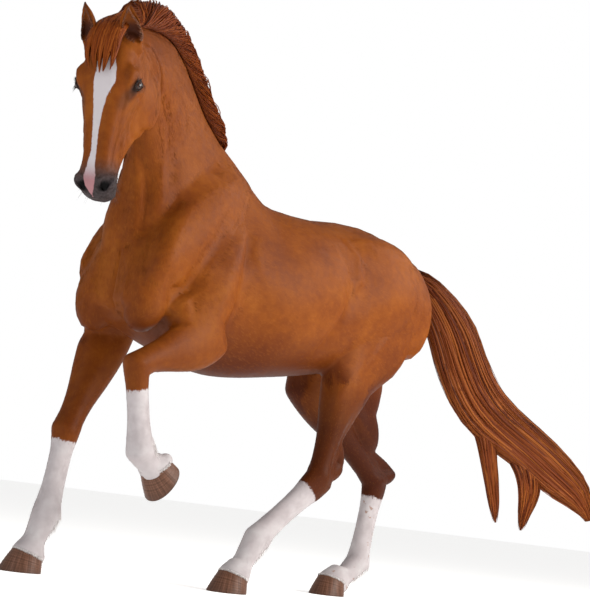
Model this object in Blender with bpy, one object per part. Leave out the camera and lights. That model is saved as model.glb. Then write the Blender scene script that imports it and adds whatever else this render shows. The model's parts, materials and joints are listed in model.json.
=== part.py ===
"""A chestnut warmblood horse at life size, still, in a collected canter with its left foreleg raised.

+X is the way the horse goes, +Y its left, +Z up. It stands on three flat soles at z = 0, and the
origin is under the middle of its bounding box. The flesh is modelled as overlapping lofts round the
bones, fused and smoothed into one body, and parted again with thin cuts.
"""
import bpy
import bmesh
import numpy as np
from math import cos, pi, radians, sin
from mathutils import Matrix, Vector

# ---------- driving dimensions, in metres ----------
GAP = 0.0004                # clearance that parts one piece from the next
FLESH_VOXEL = 0.0075        # grid on which the lofts of the body are fused
HAIR_VOXEL = 0.009
RING_SIDES = 28             # points round a loft
LOFT_STEPS = 4              # rings between two stations
FLESH_TRIANGLES = 3320
TAIL_TRIANGLES = 540
MANE_TRIANGLES = 300
EAR_TRIANGLES = 130
FORELOCK_TRIANGLES = 100

# Trunk: x, top, bottom, half width, how narrow the top is (0 round, 1 a ridge)
TRUNK = (
    (-0.700, 1.385, 1.200, 0.075, 0.1),
    (-0.655, 1.424, 1.100, 0.150, 0.1),
    (-0.570, 1.452, 1.010, 0.205, 0.1),
    (-0.440, 1.487, 0.955, 0.242, 0.1),
    (-0.300, 1.513, 0.925, 0.255, 0.15),
    (-0.150, 1.508, 0.880, 0.246, 0.1),
    (0.000, 1.488, 0.850, 0.262, 0.05),
    (0.150, 1.486, 0.825, 0.276, 0.15),
    (0.280, 1.506, 0.806, 0.270, 0.35),
    (0.400, 1.602, 0.798, 0.246, 0.55),
    (0.520, 1.585, 0.812, 0.222, 0.5),
    (0.660, 1.530, 0.850, 0.205, 0.3),
    (0.780, 1.430, 0.890, 0.205, 0.1),
    (0.880, 1.310, 0.935, 0.190, 0.0),
    (0.945, 1.190, 1.000, 0.120, 0.0),
)
# Neck: crest x, y, z, then the same for the underline, then half width
NECK = (
    ((0.340, 0.000, 1.565), (0.790, 0.000, 0.980), 0.205),
    ((0.430, 0.000, 1.630), (0.925, 0.000, 1.130), 0.190),
    ((0.520, 0.002, 1.690), (0.966, 0.008, 1.270), 0.153),
    ((0.610, 0.012, 1.766), (0.962, 0.034, 1.390), 0.118),
    ((0.700, 0.034, 1.853), (0.974, 0.078, 1.500), 0.095),
    ((0.800, 0.062, 1.935), (1.010, 0.125, 1.580), 0.085),
    ((0.910, 0.104, 1.975), (1.040, 0.165, 1.640), 0.080),
    ((1.030, 0.155, 1.968), (1.085, 0.205, 1.675), 0.076),
    ((1.140, 0.208, 1.945), (1.120, 0.235, 1.700), 0.070),
    ((1.230, 0.252, 1.905), (1.150, 0.250, 1.730), 0.062),
)

NECK_MIDDLE = 0.45           # where the neck is widest, up from the underline
NECK_RIDGE = 0.25
MANE_LAST_STATION = 9
MANE_FIRST_ROW = 2
MANE_LEFT = -14              # the mane's arc round the neck, in degrees from the crest
MANE_FALL = 78
MANE_STAND = 0.122

# Head, in its own frame: a runs from the poll to the lips, n forward from the line of the face
HEAD_POLL = Vector((1.309, 0.283, 1.885))
HEAD_YAW = radians(27.5)
HEAD_PITCH = radians(87.5)
HEAD_ROLL = radians(-1.5)
HEAD_LEAN = radians(1.5)             # the muzzle's swing to its left
# a, face line n, underline n, half width near the face, half width at the jaw
HEAD = (
    (-0.020, -0.045, -0.150, 0.057, 0.056),
    (0.015, -0.008, -0.195, 0.077, 0.078),
    (0.080, 0.010, -0.250, 0.098, 0.098),
    (0.145, 0.017, -0.283, 0.109, 0.108),
    (0.200, 0.013, -0.296, 0.111, 0.110),
    (0.255, 0.006, -0.288, 0.094, 0.104),
    (0.315, 0.000, -0.250, 0.078, 0.088),
    (0.380, -0.006, -0.203, 0.067, 0.070),
    (0.440, -0.010, -0.174, 0.064, 0.057),
    (0.492, -0.012, -0.160, 0.070, 0.052),
    (0.535, -0.020, -0.156, 0.072, 0.052),
    (0.568, -0.044, -0.152, 0.061, 0.049),
    (0.586, -0.072, -0.136, 0.035, 0.030),
)
EYE = (0.190, 0.1005, -0.057)        # a, sideways, n of the eyeball's centre
EYE_RADIUS = 0.0215
EYE_SIDES = 12
EYE_RINGS = 8
EAR_ROOT = (0.040, 0.090, -0.042)
EAR_LENGTH = 0.140
EAR_SIDES = 14
# Forelock along its middle: a, n, half width, half thickness
FORELOCK = (
    (0.000, -0.130, 0.036, 0.024),
    (-0.010, -0.070, 0.046, 0.027),
    (0.006, -0.012, 0.051, 0.027),
    (0.045, 0.014, 0.056, 0.024),
    (0.100, 0.027, 0.056, 0.018),
    (0.145, 0.031, 0.042, 0.012),
    (0.172, 0.031, 0.020, 0.007),
)
NOSTRIL = (0.528, 0.065, -0.036)
NOSTRIL_RADII = (0.017, 0.014, 0.010)
NOSTRIL_TURN = radians(35)
CLEARANCE = 0.0006              # by which a neighbour grows before a piece is cut back from it
PUCK_HALF = (0.085, 0.080)
PUCK_DEPTH = 0.13

# Joints of each leg from the trunk to the middle of the sole
LEGS = {
    "fore_right": ((0.820, -0.165, 1.150), (0.715, -0.225, 0.895), (0.907, -0.168, 0.520),
                   (0.955, -0.160, 0.216), (1.025, -0.165, 0.000)),
    "fore_left": ((0.790, 0.165, 1.150), (0.600, 0.180, 0.905), (0.960, 0.240, 0.770),
                  (0.880, 0.222, 0.474), (0.730, 0.200, 0.377)),
    "hind_left": ((-0.480, 0.135, 1.250), (-0.215, 0.140, 0.890), (-0.110, 0.160, 0.466),
                  (0.162, 0.128, 0.214), (0.278, 0.130, 0.000)),
    "hind_right": ((-0.450, -0.135, 1.250), (-0.345, -0.180, 0.845), (-0.757, -0.125, 0.497),
                   (-0.716, -0.135, 0.150), (-0.556, -0.138, 0.000)),
}
HOOF_HEADING = {"fore_right": radians(-12), "hind_left": radians(-4), "hind_right": radians(4)}
# Along a leg: place (1 is the second joint), half width across, in front, behind
FORE_SECTIONS = (
    (0.35, 0.060, 0.110, 0.110),
    (0.80, 0.074, 0.108, 0.105),
    (1.00, 0.074, 0.104, 0.102),
    (1.20, 0.070, 0.098, 0.092),
    (1.45, 0.062, 0.082, 0.075),
    (1.70, 0.051, 0.062, 0.056),
    (1.88, 0.050, 0.054, 0.050),
    (2.00, 0.054, 0.053, 0.054),
    (2.12, 0.047, 0.047, 0.052),
    (2.28, 0.038, 0.041, 0.049),
    (2.60, 0.036, 0.040, 0.050),
    (2.84, 0.043, 0.045, 0.055),
    (3.00, 0.049, 0.051, 0.061),
    (3.20, 0.045, 0.047, 0.054),
    (3.45, 0.043, 0.043, 0.046),
    (3.75, 0.051, 0.050, 0.052),
)
HIND_SECTIONS = (
    (0.25, 0.085, 0.170, 0.190),
    (0.60, 0.090, 0.158, 0.185),
    (0.90, 0.086, 0.128, 0.165),
    (1.12, 0.078, 0.108, 0.140),
    (1.35, 0.066, 0.084, 0.104),
    (1.62, 0.052, 0.056, 0.064),
    (1.85, 0.047, 0.052, 0.064),
    (2.00, 0.049, 0.060, 0.070),
    (2.14, 0.045, 0.054, 0.068),
    (2.32, 0.039, 0.045, 0.055),
    (2.60, 0.038, 0.043, 0.050),
    (2.85, 0.043, 0.046, 0.054),
    (3.00, 0.049, 0.050, 0.060),
    (3.20, 0.045, 0.046, 0.052),
    (3.45, 0.043, 0.043, 0.045),
    (3.75, 0.051, 0.049, 0.052),
)
# Cuts across a leg: place, half size across, half size fore and aft
FORE_CUTS = {
    "fore_right": ((1.24, 0.115, 0.15), (1.84, 0.08, 0.09), (2.16, 0.08, 0.09), (2.82, 0.08, 0.09)),
    "fore_left": ((1.46, 0.100, 0.12), (1.84, 0.08, 0.09), (2.16, 0.08, 0.09), (2.82, 0.08, 0.09)),
}
HIND_CUTS = {
    "hind_left": ((1.24, 0.13, 0.19), (1.80, 0.08, 0.16), (2.20, 0.08, 0.12), (2.82, 0.08, 0.09)),
    "hind_right": ((1.80, 0.08, 0.16), (2.20, 0.08, 0.12), (2.82, 0.08, 0.09)),
}
CHIN_LEVEL = 1.26                        # nothing of the head is lower
LEAST_BROAD = 0.5
RIGHT_GASKIN_CUT = ((-0.540, -0.155, 0.800), (-0.30, 0, -0.954), (0, 1, 0), 0.140, 0.300)
LEFT_THIGH_CUT = ((-0.452, 0.170, 1.100), (0.35, 0, -0.94), (0, 1, 0), 0.171, 0.450)
RIGHT_THIGH_CUT = ((-0.465, -0.170, 1.100), (0.10, 0, -0.99), (0, 1, 0), 0.171, 0.450)
HEAD_CUT = ((1.112, 0.225, 1.730), (1.0, 0.10, -0.36), (0, 1, 0), 0.17, 0.310)
# Hoof, from the middle of its sole: x to the toe
HOOF_SOLE = (0.086, 0.072, 0.071)        # to the toe, to the heel, half width
HOOF_CORONET = (0.056, 0.052, 0.056)
HOOF_CORONET_BACK = 0.020                # how far the coronet's middle lies behind the sole's
HOOF_HEIGHT = 0.062
HOOF_SIDES = 20
HOOF_SLOPE = 0.36                        # rise of the coronet from heel to toe, per unit length

# Muscles: two ends, radius at right angles outward and across; given for the left side
MUSCLES = (
    ((0.470, 0.095, 1.520), (0.870, 0.195, 1.110), 0.078, 0.135),      # shoulder blade
    ((0.500, 0.165, 1.300), (0.640, 0.190, 0.960), 0.078, 0.130),      # triceps
    ((0.840, 0.118, 1.160), (0.880, 0.135, 0.940), 0.090, 0.095),      # breast
    ((-0.530, 0.105, 1.355), (-0.150, 0.120, 1.378), 0.105, 0.108),    # croup
    ((-0.600, 0.105, 1.320), (-0.575, 0.120, 1.050), 0.090, 0.105),    # buttock
)
# The thigh's rear edge and the point of the hock, as above, on one side only
RIGHT_CALF = ((-0.570, -0.148, 0.850), (-0.700, -0.134, 0.650), 0.054, 0.088)
RIGHT_HAMSTRING = ((-0.600, -0.130, 1.150), (-0.660, -0.135, 0.760), 0.070, 0.085)
RIGHT_INNER_THIGH = ((-0.500, -0.135, 0.980), (-0.560, -0.135, 0.800), 0.060, 0.085)
LEFT_HAMSTRING = ((-0.540, 0.130, 1.100), (-0.330, 0.150, 0.880), 0.070, 0.080)
HOCK_TIPS = {"hind_left": (-0.232, 0.160, 0.520), "hind_right": (-0.884, -0.130, 0.540)}
MUSCLE_OVERRUN = 0.05
BROAD_SMOOTHING = 14

# Tail: a curved sheaf in an upright plane through the dock; along, height, half depth, half thickness
TAIL_ROOT = Vector((-0.690, 0.000, 0.0))
TAIL_SWING = radians(150)
TAIL_LOCKS = {
    "mass": ((-0.03, 1.372, 0.050, 0.045), (0.070, 1.336, 0.066, 0.050), (0.155, 1.250, 0.092, 0.058),
             (0.225, 1.150, 0.110, 0.060), (0.280, 1.036, 0.114, 0.060), (0.338, 0.936, 0.114, 0.056),
             (0.415, 0.852, 0.112, 0.050), (0.518, 0.780, 0.104, 0.046), (0.645, 0.706, 0.098, 0.042),
             (0.765, 0.625, 0.092, 0.036), (0.865, 0.555, 0.072, 0.028), (0.925, 0.480, 0.034, 0.018),
             (0.940, 0.440, 0.012, 0.010)),
    "low": ((0.370, 0.880, 0.060, 0.030), (0.425, 0.740, 0.046, 0.028), (0.462, 0.600, 0.034, 0.022),
            (0.492, 0.480, 0.026, 0.016), (0.512, 0.385, 0.010, 0.009)),
    "middle": ((0.530, 0.760, 0.060, 0.028), (0.620, 0.640, 0.058, 0.026), (0.650, 0.540, 0.050, 0.022),
               (0.640, 0.440, 0.030, 0.016), (0.630, 0.365, 0.011, 0.009)),
}
# Cuts of the tail: a place on it, another that gives its run there, half the cut's depth
TAIL_CUTS = (((0.150, 1.255), (0.200, 1.190), 0.16), ((0.330, 0.945), (0.380, 0.890), 0.17),
             ((0.580, 0.740), (0.640, 0.704), 0.15), ((0.448, 0.655), (0.460, 0.600), 0.060),
             ((0.649, 0.528), (0.645, 0.480), 0.070))
TAIL_SEEDS = {"tail_dock": (0.08, 1.33), "tail_upper": (0.25, 1.08), "tail_middle": (0.46, 0.83),
              "tail_end": (0.80, 0.60), "tail_lock_low": (0.49, 0.50), "tail_lock_middle": (0.645, 0.48)}
SMALLEST_PIECE = 1e-6                # a body with less volume than this is a scrap
CHESTNUT = (0.36, 0.115, 0.042)
MANE_RED = (0.27, 0.070, 0.022)
STOCKING_WHITE = (0.78, 0.76, 0.74)
HOOF_HORN = (0.20, 0.125, 0.085)
EYE_BROWN = (0.012, 0.007, 0.005)


# ---------- tools ----------
def clear_scene():
    for obj in list(bpy.data.objects):
        bpy.data.objects.remove(obj, do_unlink=True)


def make_material(name, colour, roughness):
    material = bpy.data.materials.new(name)
    material.use_nodes = True
    shader = material.node_tree.nodes["Principled BSDF"]
    shader.inputs["Base Color"].default_value = (*colour, 1)
    shader.inputs["Roughness"].default_value = roughness
    shader.inputs["Metallic"].default_value = 0
    return material


def smooth_rows(rows, steps=LOFT_STEPS):
    """Rows of numbers with Catmull-Rom rows put between them."""
    rows = np.array(rows, float)
    padded = np.vstack([2 * rows[0] - rows[1], rows, 2 * rows[-1] - rows[-2]])
    found = []
    for i in range(1, len(padded) - 2):
        a, b, c, d = padded[i - 1:i + 3]
        for k in range(steps):
            t = k / steps
            found.append(0.5 * (2 * b + (c - a) * t + (2 * a - 5 * b + 4 * c - d) * t * t
                                + (3 * b - a - 3 * c + d) * t ** 3))
    found.append(rows[-1])
    return found


def loft(bm, rings):
    """A closed tube through rings of points, which all have the same number."""
    loops = [[bm.verts.new(point) for point in points] for points in rings]
    for first, second in zip(loops, loops[1:]):
        for k in range(len(first)):
            bm.faces.new((first[k - 1], first[k], second[k], second[k - 1]))
    for end in (loops[0], loops[-1]):
        bm.faces.new(end)


def oval(centre, side, front, half_side, half_front, half_back, ridge=0.0, square=1.0):
    """A ring of points: half_front one way, half_back the other, and narrowed to a ridge in front."""
    points = []
    for k in range(RING_SIDES):
        angle = 2 * pi * k / RING_SIDES
        across, along = sin(angle), cos(angle)
        across = abs(across) ** square * (1 if across > 0 else -1)
        across *= 1 - ridge * max(0.0, along) ** 1.5
        reach = half_front if along > 0 else half_back
        points.append(centre + side * (half_side * across) + front * (reach * along))
    return points


def spindle(bm, first, second, outward, across, overrun=MUSCLE_OVERRUN):
    """An egg-shaped muscle between two points."""
    first, second = Vector(first), Vector(second)
    axis = second - first
    length = axis.length / 2 + overrun
    axis.normalize()
    out = Vector((0, 1 if first.y > 0 else -1, 0))
    out = (out - axis * out.dot(axis)).normalized()
    third = axis.cross(out)
    frame = Matrix((axis * length, out * outward, third * across)).transposed().to_4x4()
    frame.translation = (first + second) / 2
    bmesh.ops.create_uvsphere(bm, u_segments=24, v_segments=16, radius=1, matrix=frame)


def new_object(name, bm, materials=()):
    mesh = bpy.data.meshes.new(name)
    bmesh.ops.recalc_face_normals(bm, faces=bm.faces)
    bm.to_mesh(mesh)
    bm.free()
    mesh.shade_smooth()
    obj = bpy.data.objects.new(name, mesh)
    bpy.context.scene.collection.objects.link(obj)
    for material in materials:
        mesh.materials.append(material)
    return obj


def as_helper(obj):
    obj.hide_render = True
    obj.display_type = "WIRE"
    return obj


def bake_modifiers(obj):
    """The object's mesh as its modifiers leave it, and no modifiers."""
    graph = bpy.context.evaluated_depsgraph_get()
    mesh = bpy.data.meshes.new_from_object(obj.evaluated_get(graph))
    obj.modifiers.clear()
    obj.data = mesh
    bpy.context.view_layer.update()


def fuse(obj, voxel, smoothing, triangles, weights=None):
    """Overlapping closed shells made one, smoothed and thinned to a number of triangles."""
    remesh = obj.modifiers.new("Fuse", "REMESH")
    remesh.mode = "VOXEL"
    remesh.voxel_size = voxel
    bake_modifiers(obj)
    relax = obj.modifiers.new("Relax", "SMOOTH")
    relax.factor = 0.5
    relax.iterations = smoothing
    bake_modifiers(obj)
    if weights:
        group = obj.vertex_groups.new(name="Broad")
        for vert in obj.data.vertices:
            group.add([vert.index], weights(vert.co), "REPLACE")
        relax = obj.modifiers.new("Relax", "SMOOTH")
        relax.factor = 0.5
        relax.iterations = BROAD_SMOOTHING
        relax.vertex_group = "Broad"
        bake_modifiers(obj)
    thin = obj.modifiers.new("Thin", "DECIMATE")
    thin.ratio = triangles / sum(len(p.vertices) - 2 for p in obj.data.polygons)
    if weights:
        thin.vertex_group = "Broad"
        thin.vertex_group_factor = 1.0
    bake_modifiers(obj)


def thin_to(obj, triangles):
    thin = obj.modifiers.new("Thin", "DECIMATE")
    thin.ratio = min(1.0, triangles / sum(len(p.vertices) - 2 for p in obj.data.polygons))
    bake_modifiers(obj)


def subtract(obj, cutter):
    cut = obj.modifiers.new("Cut", "BOOLEAN")
    cut.operation = "DIFFERENCE"
    cut.object = cutter
    cut.solver = "EXACT"
    bake_modifiers(obj)


def grown(obj, distance, name):
    """A helper copy of a solid, larger all round."""
    bm = bmesh.new()
    bm.from_mesh(obj.data)
    bmesh.ops.triangulate(bm, faces=bm.faces)
    bm.normal_update()
    moves = [vert.normal * distance * vert.calc_shell_factor() for vert in bm.verts]
    for vert, move in zip(bm.verts, moves):
        vert.co += move
    return as_helper(new_object(name, bm))


# ---------- head frame ----------
HEAD_TURN = (Matrix.Rotation(HEAD_YAW, 3, "Z") @ Matrix.Rotation(HEAD_PITCH, 3, "Y")
             @ Matrix.Rotation(HEAD_ROLL, 3, "X") @ Matrix.Rotation(HEAD_LEAN, 3, "Z"))


def on_head(a, sideways, n):
    return HEAD_POLL + HEAD_TURN @ Vector((a, sideways, n))


# ---------- flesh ----------
def add_trunk(bm):
    rings = []
    for x, top, bottom, width, ridge in smooth_rows(TRUNK):
        middle = bottom + 0.47 * (top - bottom)
        rings.append(oval(Vector((x, 0, middle)), Vector((0, 1, 0)), Vector((0, 0, 1)), width,
                          top - middle, middle - bottom, ridge, 0.85))
    loft(bm, rings)


def neck_frame(row):
    """Middle, side, up, half width and depth of the neck, from a row of numbers."""
    crest, under, width = Vector(row[:3]), Vector(row[3:6]), row[6]
    up = crest - under
    depth = up.length
    up.normalize()
    bend = 0.45 * min(1.0, max(0.0, (crest.x - 0.6) / 0.3))
    side = up.cross(Vector((1, bend, 0))).normalized()
    return under + up * depth * NECK_MIDDLE, side, up, width, depth


def neck_skin(centre, side, up, width, depth, angle):
    """A point of the neck's skin, at an angle from the crest towards the right side."""
    across, along = sin(angle), cos(angle)
    across = abs(across) ** 0.9 * (-1 if across > 0 else 1) * (1 - NECK_RIDGE * max(0.0, along) ** 1.5)
    reach = depth * (1 - NECK_MIDDLE) if along > 0 else depth * NECK_MIDDLE
    return centre + side * (width * across) + up * (reach * along)


def add_neck(bm):
    rings = []
    for row in smooth_rows([(*crest, *under, width) for crest, under, width in NECK]):
        frame = neck_frame(row)
        rings.append([neck_skin(*frame, 2 * pi * k / RING_SIDES) for k in range(RING_SIDES)])
    loft(bm, rings)


def add_head(bm):
    rings = []
    for a, face, under, width, jaw in smooth_rows(HEAD):
        points = []
        for k in range(RING_SIDES):
            angle = 2 * pi * k / RING_SIDES
            across, along = sin(angle), cos(angle)
            share = 0.5 - 0.5 * along
            half = width + (jaw - width) * min(1.0, share * 1.25)
            flat = abs(across) ** 0.62 * (1 if across > 0 else -1)
            n = (face + under) / 2 + (face - under) / 2 * abs(along) ** 0.8 * (1 if along > 0 else -1)
            points.append(on_head(a, half * flat, n))
        rings.append(points)
    loft(bm, rings)
    for side in (1, -1):
        spots = (
            ((0.165, 0.086, -0.028), (0.048, 0.029, 0.026)),     # brow over the eye
            ((0.193, 0.083, -0.058), (0.040, 0.029, 0.031)),     # rim of the eye
            ((0.195, 0.082, -0.195), (0.112, 0.038, 0.097)),     # round of the jaw
            ((0.330, 0.065, -0.085), (0.110, 0.017, 0.018)),     # cheek ridge
            ((0.526, 0.050, -0.055), (0.036, 0.028, 0.031)),     # wing of the nostril
            ((0.045, 0.064, -0.060), (0.050, 0.038, 0.048)),     # root of the ear
        )
        for (a, across, n), radii in spots:
            frame = (HEAD_TURN @ Matrix.Diagonal(radii)).to_4x4()
            frame.translation = on_head(a, across * side, n)
            bmesh.ops.create_uvsphere(bm, u_segments=20, v_segments=14, radius=1, matrix=frame)
    chin = (HEAD_TURN @ Matrix.Diagonal((0.032, 0.030, 0.026))).to_4x4()
    chin.translation = on_head(0.553, 0, -0.144)
    bmesh.ops.create_uvsphere(bm, u_segments=20, v_segments=14, radius=1, matrix=chin)


def leg_frame(joints, place):
    """Middle, direction down the leg, side and front at a place along a leg."""
    index = min(int(place), len(joints) - 2)
    share = place - index
    a, b = Vector(joints[index]), Vector(joints[index + 1])
    centre = a.lerp(b, share)
    down = (b - a).normalized()
    reach = 0.30
    if share < reach and index > 0:
        before = (a - Vector(joints[index - 1])).normalized()
        down = (down * (0.5 + share / reach / 2) + before * (0.5 - share / reach / 2)).normalized()
    if share > 1 - reach and index < len(joints) - 2:
        after = (Vector(joints[index + 2]) - b).normalized()
        mix = (share - 1 + reach) / reach / 2
        down = (down * (1 - mix) + after * mix).normalized()
    side = Vector((0, 1, 0))
    side = (side - down * side.dot(down)).normalized()
    return centre, down, side, down.cross(side)


def add_leg(bm, joints, sections):
    rings = []
    for place, across, front, back in smooth_rows(sections):
        centre, _, side, ahead = leg_frame(joints, place)
        rings.append(oval(centre, side, ahead, across, front, back))
    loft(bm, rings)


def add_muscles(bm):
    for first, second, outward, across in MUSCLES:
        for side in (1, -1):
            spindle(bm, (first[0], first[1] * side, first[2]), (second[0], second[1] * side, second[2]),
                    outward, across)
    spindle(bm, *RIGHT_HAMSTRING)
    spindle(bm, *RIGHT_INNER_THIGH)
    spindle(bm, *LEFT_HAMSTRING)
    spindle(bm, *RIGHT_CALF)
    for leg, tip in HOCK_TIPS.items():
        hock = leg_frame(LEGS[leg], 2.0)[0]
        spindle(bm, hock, tip, 0.028, 0.036, 0.008)
        spindle(bm, leg_frame(LEGS[leg], 1.50)[0], tip, 0.026, 0.030, 0.004)


def broadness(point):
    """1 where the body is broad and plain, less on the head and the legs, which keep more triangles."""
    ahead = (point - Vector(HEAD_CUT[0])).dot(Vector(HEAD_CUT[1]).normalized())
    head = 1 - min(1.0, max(0.0, ahead + 0.03) / 0.05) if point.z > CHIN_LEVEL else 1
    legs = min(1.0, max(0.0, (point.z - 0.62) / 0.25))
    return max(LEAST_BROAD, min(head, legs))


def hoof_frame(leg):
    """From the hoof's own axes (x to the toe, z from the sole up) to the world."""
    middle = Vector(LEGS[leg][4])
    if leg in HOOF_HEADING:
        return Matrix.Translation(middle) @ Matrix.Rotation(HOOF_HEADING[leg], 4, "Z")
    up = Vector((0.848, 0.02, 0.530)).normalized()
    toe = Vector((0.530, 0.05, -0.848))
    toe = (toe - up * toe.dot(up)).normalized()
    frame = Matrix((toe, up.cross(toe), up)).transposed().to_4x4()
    frame.translation = middle
    return frame


def coronet_height(x):
    return HOOF_HEIGHT + HOOF_SLOPE * (x + HOOF_CORONET_BACK)


def add_hoof(bm, frame, top_gap):
    rings = []
    for share in (0.0, 0.04, 0.5, 1.0):
        toe, heel, half = (HOOF_SOLE[i] + (HOOF_CORONET[i] - HOOF_SOLE[i]) * share for i in range(3))
        if share == 0:
            toe, heel, half = toe - 0.003, heel - 0.003, half - 0.003
        back = HOOF_CORONET_BACK * share
        points = []
        for k in range(HOOF_SIDES):
            angle = 2 * pi * k / HOOF_SIDES
            reach = toe if cos(angle) > 0 else heel
            x = reach * cos(angle) - back
            y = half * abs(sin(angle)) ** 0.9 * (1 if sin(angle) > 0 else -1)
            z = (coronet_height(x) - top_gap) * share
            points.append(frame @ Vector((x, y, z)))
        rings.append(points)
    loft(bm, rings)


# ---------- ears, eyes, hair ----------
def ear_rings(side):
    """A cupped leaf: its back is round and its front is hollow."""
    root = on_head(EAR_ROOT[0], EAR_ROOT[1] * side, EAR_ROOT[2])
    up = (HEAD_TURN @ Vector((-0.78, -0.12 * side, 0.61))).normalized()
    outward = (HEAD_TURN @ Vector((0.57, 0.50 * side, 0.60)))
    outward = (outward - up * outward.dot(up)).normalized()
    across = up.cross(outward)
    rows = ((-0.30, 0.020, 0.020, 0.0), (0.00, 0.026, 0.022, 0.1), (0.22, 0.032, 0.022, 0.55),
            (0.45, 0.034, 0.020, 0.7), (0.70, 0.027, 0.014, 0.7), (0.88, 0.015, 0.008, 0.5),
            (1.00, 0.004, 0.003, 0.0))
    rings = []
    for height, width, depth, hollow in smooth_rows(rows, 2):
        lean = across * (-side) * 0.012 * sin(pi * min(1, max(0, height))) + outward * 0.010 * height
        middle = root + up * (EAR_LENGTH * height) + lean
        points = []
        for k in range(EAR_SIDES):
            angle = 2 * pi * k / EAR_SIDES
            x, y = sin(angle), cos(angle)
            reach = y * depth if y < 0 else y * depth * (1 - 2.0 * hollow)
            points.append(middle + across * (x * width) + outward * reach)
        rings.append(points)
    return rings


def tail_point(along, height, aside=0.0):
    direction = Vector((cos(TAIL_SWING), sin(TAIL_SWING), 0))
    return TAIL_ROOT + direction * along + Vector((-direction.y, direction.x, 0)) * aside + Vector((0, 0, height))


def add_tail(bm):
    aside = Vector((-sin(TAIL_SWING), cos(TAIL_SWING), 0))
    for rows in TAIL_LOCKS.values():
        rows = smooth_rows(rows)
        rings = []
        for i, (along, height, deep, thick) in enumerate(rows):
            before, after = rows[max(0, i - 1)], rows[min(len(rows) - 1, i + 1)]
            run = (tail_point(after[0], after[1]) - tail_point(before[0], before[1])).normalized()
            rings.append(oval(tail_point(along, height), aside, run.cross(aside), thick, deep, deep))
        loft(bm, rings)


def add_mane(bm):
    """Hair that stands on the crest and falls on the right side."""
    rings = []
    rows = smooth_rows([(*crest, *under, width) for crest, under, width in NECK[1:MANE_LAST_STATION]])
    rows = rows[MANE_FIRST_ROW:]
    half = RING_SIDES // 2
    for i, row in enumerate(rows):
        share = i / (len(rows) - 1)
        centre, side, up, width, depth = neck_frame(row)
        taper = min(1.0, 0.25 + 6 * share, 0.55 + 5 * (1 - share))
        points = []
        for k in range(RING_SIDES):
            outer = k < half
            t = (k if outer else RING_SIDES - 1 - k) / (half - 1)
            angle = radians(MANE_LEFT + (MANE_FALL - MANE_LEFT) * t)
            skin = neck_skin(centre, side, up, width, depth, angle)
            out = (up * cos(angle) - side * sin(angle)).normalized()
            thick = MANE_STAND * (0.62 + 0.50 * share) * taper * sin(pi * min(1.0, 0.16 + t * 0.9)) ** 0.7 + 0.010
            points.append(skin + out * (thick if outer else -0.022))
        rings.append(points)
    loft(bm, rings)


def add_forelock(bm):
    """Hair that comes over the poll from the mane and hangs down the forehead."""
    rows = smooth_rows(FORELOCK, 2)
    rings = []
    for i, (a, n, half, thick) in enumerate(rows):
        before, after = rows[max(0, i - 1)], rows[min(len(rows) - 1, i + 1)]
        run = (HEAD_TURN @ Vector((after[0] - before[0], 0, after[1] - before[1]))).normalized()
        side = HEAD_TURN @ Vector((0, 1, 0))
        rings.append(oval(on_head(a, 0.002, n), side, side.cross(run), half, thick, thick + 0.012))
    loft(bm, rings)


# ---------- cuts ----------
def slab(bm, centre, normal, across, half_across, half_other):
    """A thin plate that parts the flesh."""
    normal, across = Vector(normal).normalized(), Vector(across)
    across = (across - normal * across.dot(normal)).normalized()
    frame = Matrix((across * (2 * half_across), normal.cross(across) * (2 * half_other), normal * GAP))
    frame = frame.transposed().to_4x4()
    frame.translation = Vector(centre)
    bmesh.ops.create_cube(bm, size=1, matrix=frame)


def leg_cut(bm, leg, place, half_side, half_front):
    centre, down, side, _ = leg_frame(LEGS[leg], place)
    slab(bm, centre, down, side, half_side, half_front)


def add_cuts(bm):
    slab(bm, *HEAD_CUT)
    slab(bm, *RIGHT_GASKIN_CUT)
    slab(bm, (0.725, 0.000, 1.425), (0.55, 0, 0.45), (0, 1, 0), 0.30, 0.45)               # neck from trunk
    slab(bm, (0.360, 0.000, 1.190), (0.988, 0, 0.150), (0, 1, 0), 0.36, 0.50)             # forehand
    slab(bm, (-0.150, 0.000, 1.190), (0.979, 0, 0.202), (0, 1, 0), 0.36, 0.45)            # hindquarters
    for leg, places in FORE_CUTS.items():
        for place, half_side, half_front in places:
            leg_cut(bm, leg, place, half_side, half_front)
    for leg, places in HIND_CUTS.items():
        for place, half_side, half_front in places:
            leg_cut(bm, leg, place, half_side, half_front)


def add_thigh_cut(bm, side):
    if side > 0:
        slab(bm, *LEFT_THIGH_CUT)
    else:
        slab(bm, *RIGHT_THIGH_CUT)


def add_midline_cut(bm):
    slab(bm, (-0.420, 0.000, 1.010), (0, 1, 0), (1, 0, 0), 0.42, 0.26)


def helper(name, *adders):
    bm = bmesh.new()
    for add in adders:
        add(bm)
    return as_helper(new_object(name, bm))


def part_names():
    """Every piece of flesh and a point in it."""
    seeds = {
        "head": on_head(0.3, 0, -0.08),
        "neck": Vector((0.900, 0.095, 1.780)),
        "trunk_forehand": Vector((0.620, 0.000, 1.200)),
        "trunk_barrel": Vector((0.100, 0.000, 1.150)),
        "trunk_hindquarters": Vector((-0.450, 0.000, 1.400)),
        "thigh_left": Vector((-0.300, 0.200, 1.000)),
        "thigh_right": Vector((-0.450, -0.220, 0.950)),
    }
    for leg, joints in LEGS.items():
        end, side = leg.split("_")
        names = ("forearm", "knee", "cannon_fore", "pastern_fore")
        if end == "hind":
            names = ("gaskin", "hock", "cannon_hind", "pastern_hind")
        for name, place in zip(names, (1.55, 2.0, 2.5, 3.3)):
            seeds[f"{name}_{side}"] = leg_frame(joints, place)[0]
    return seeds


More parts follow.
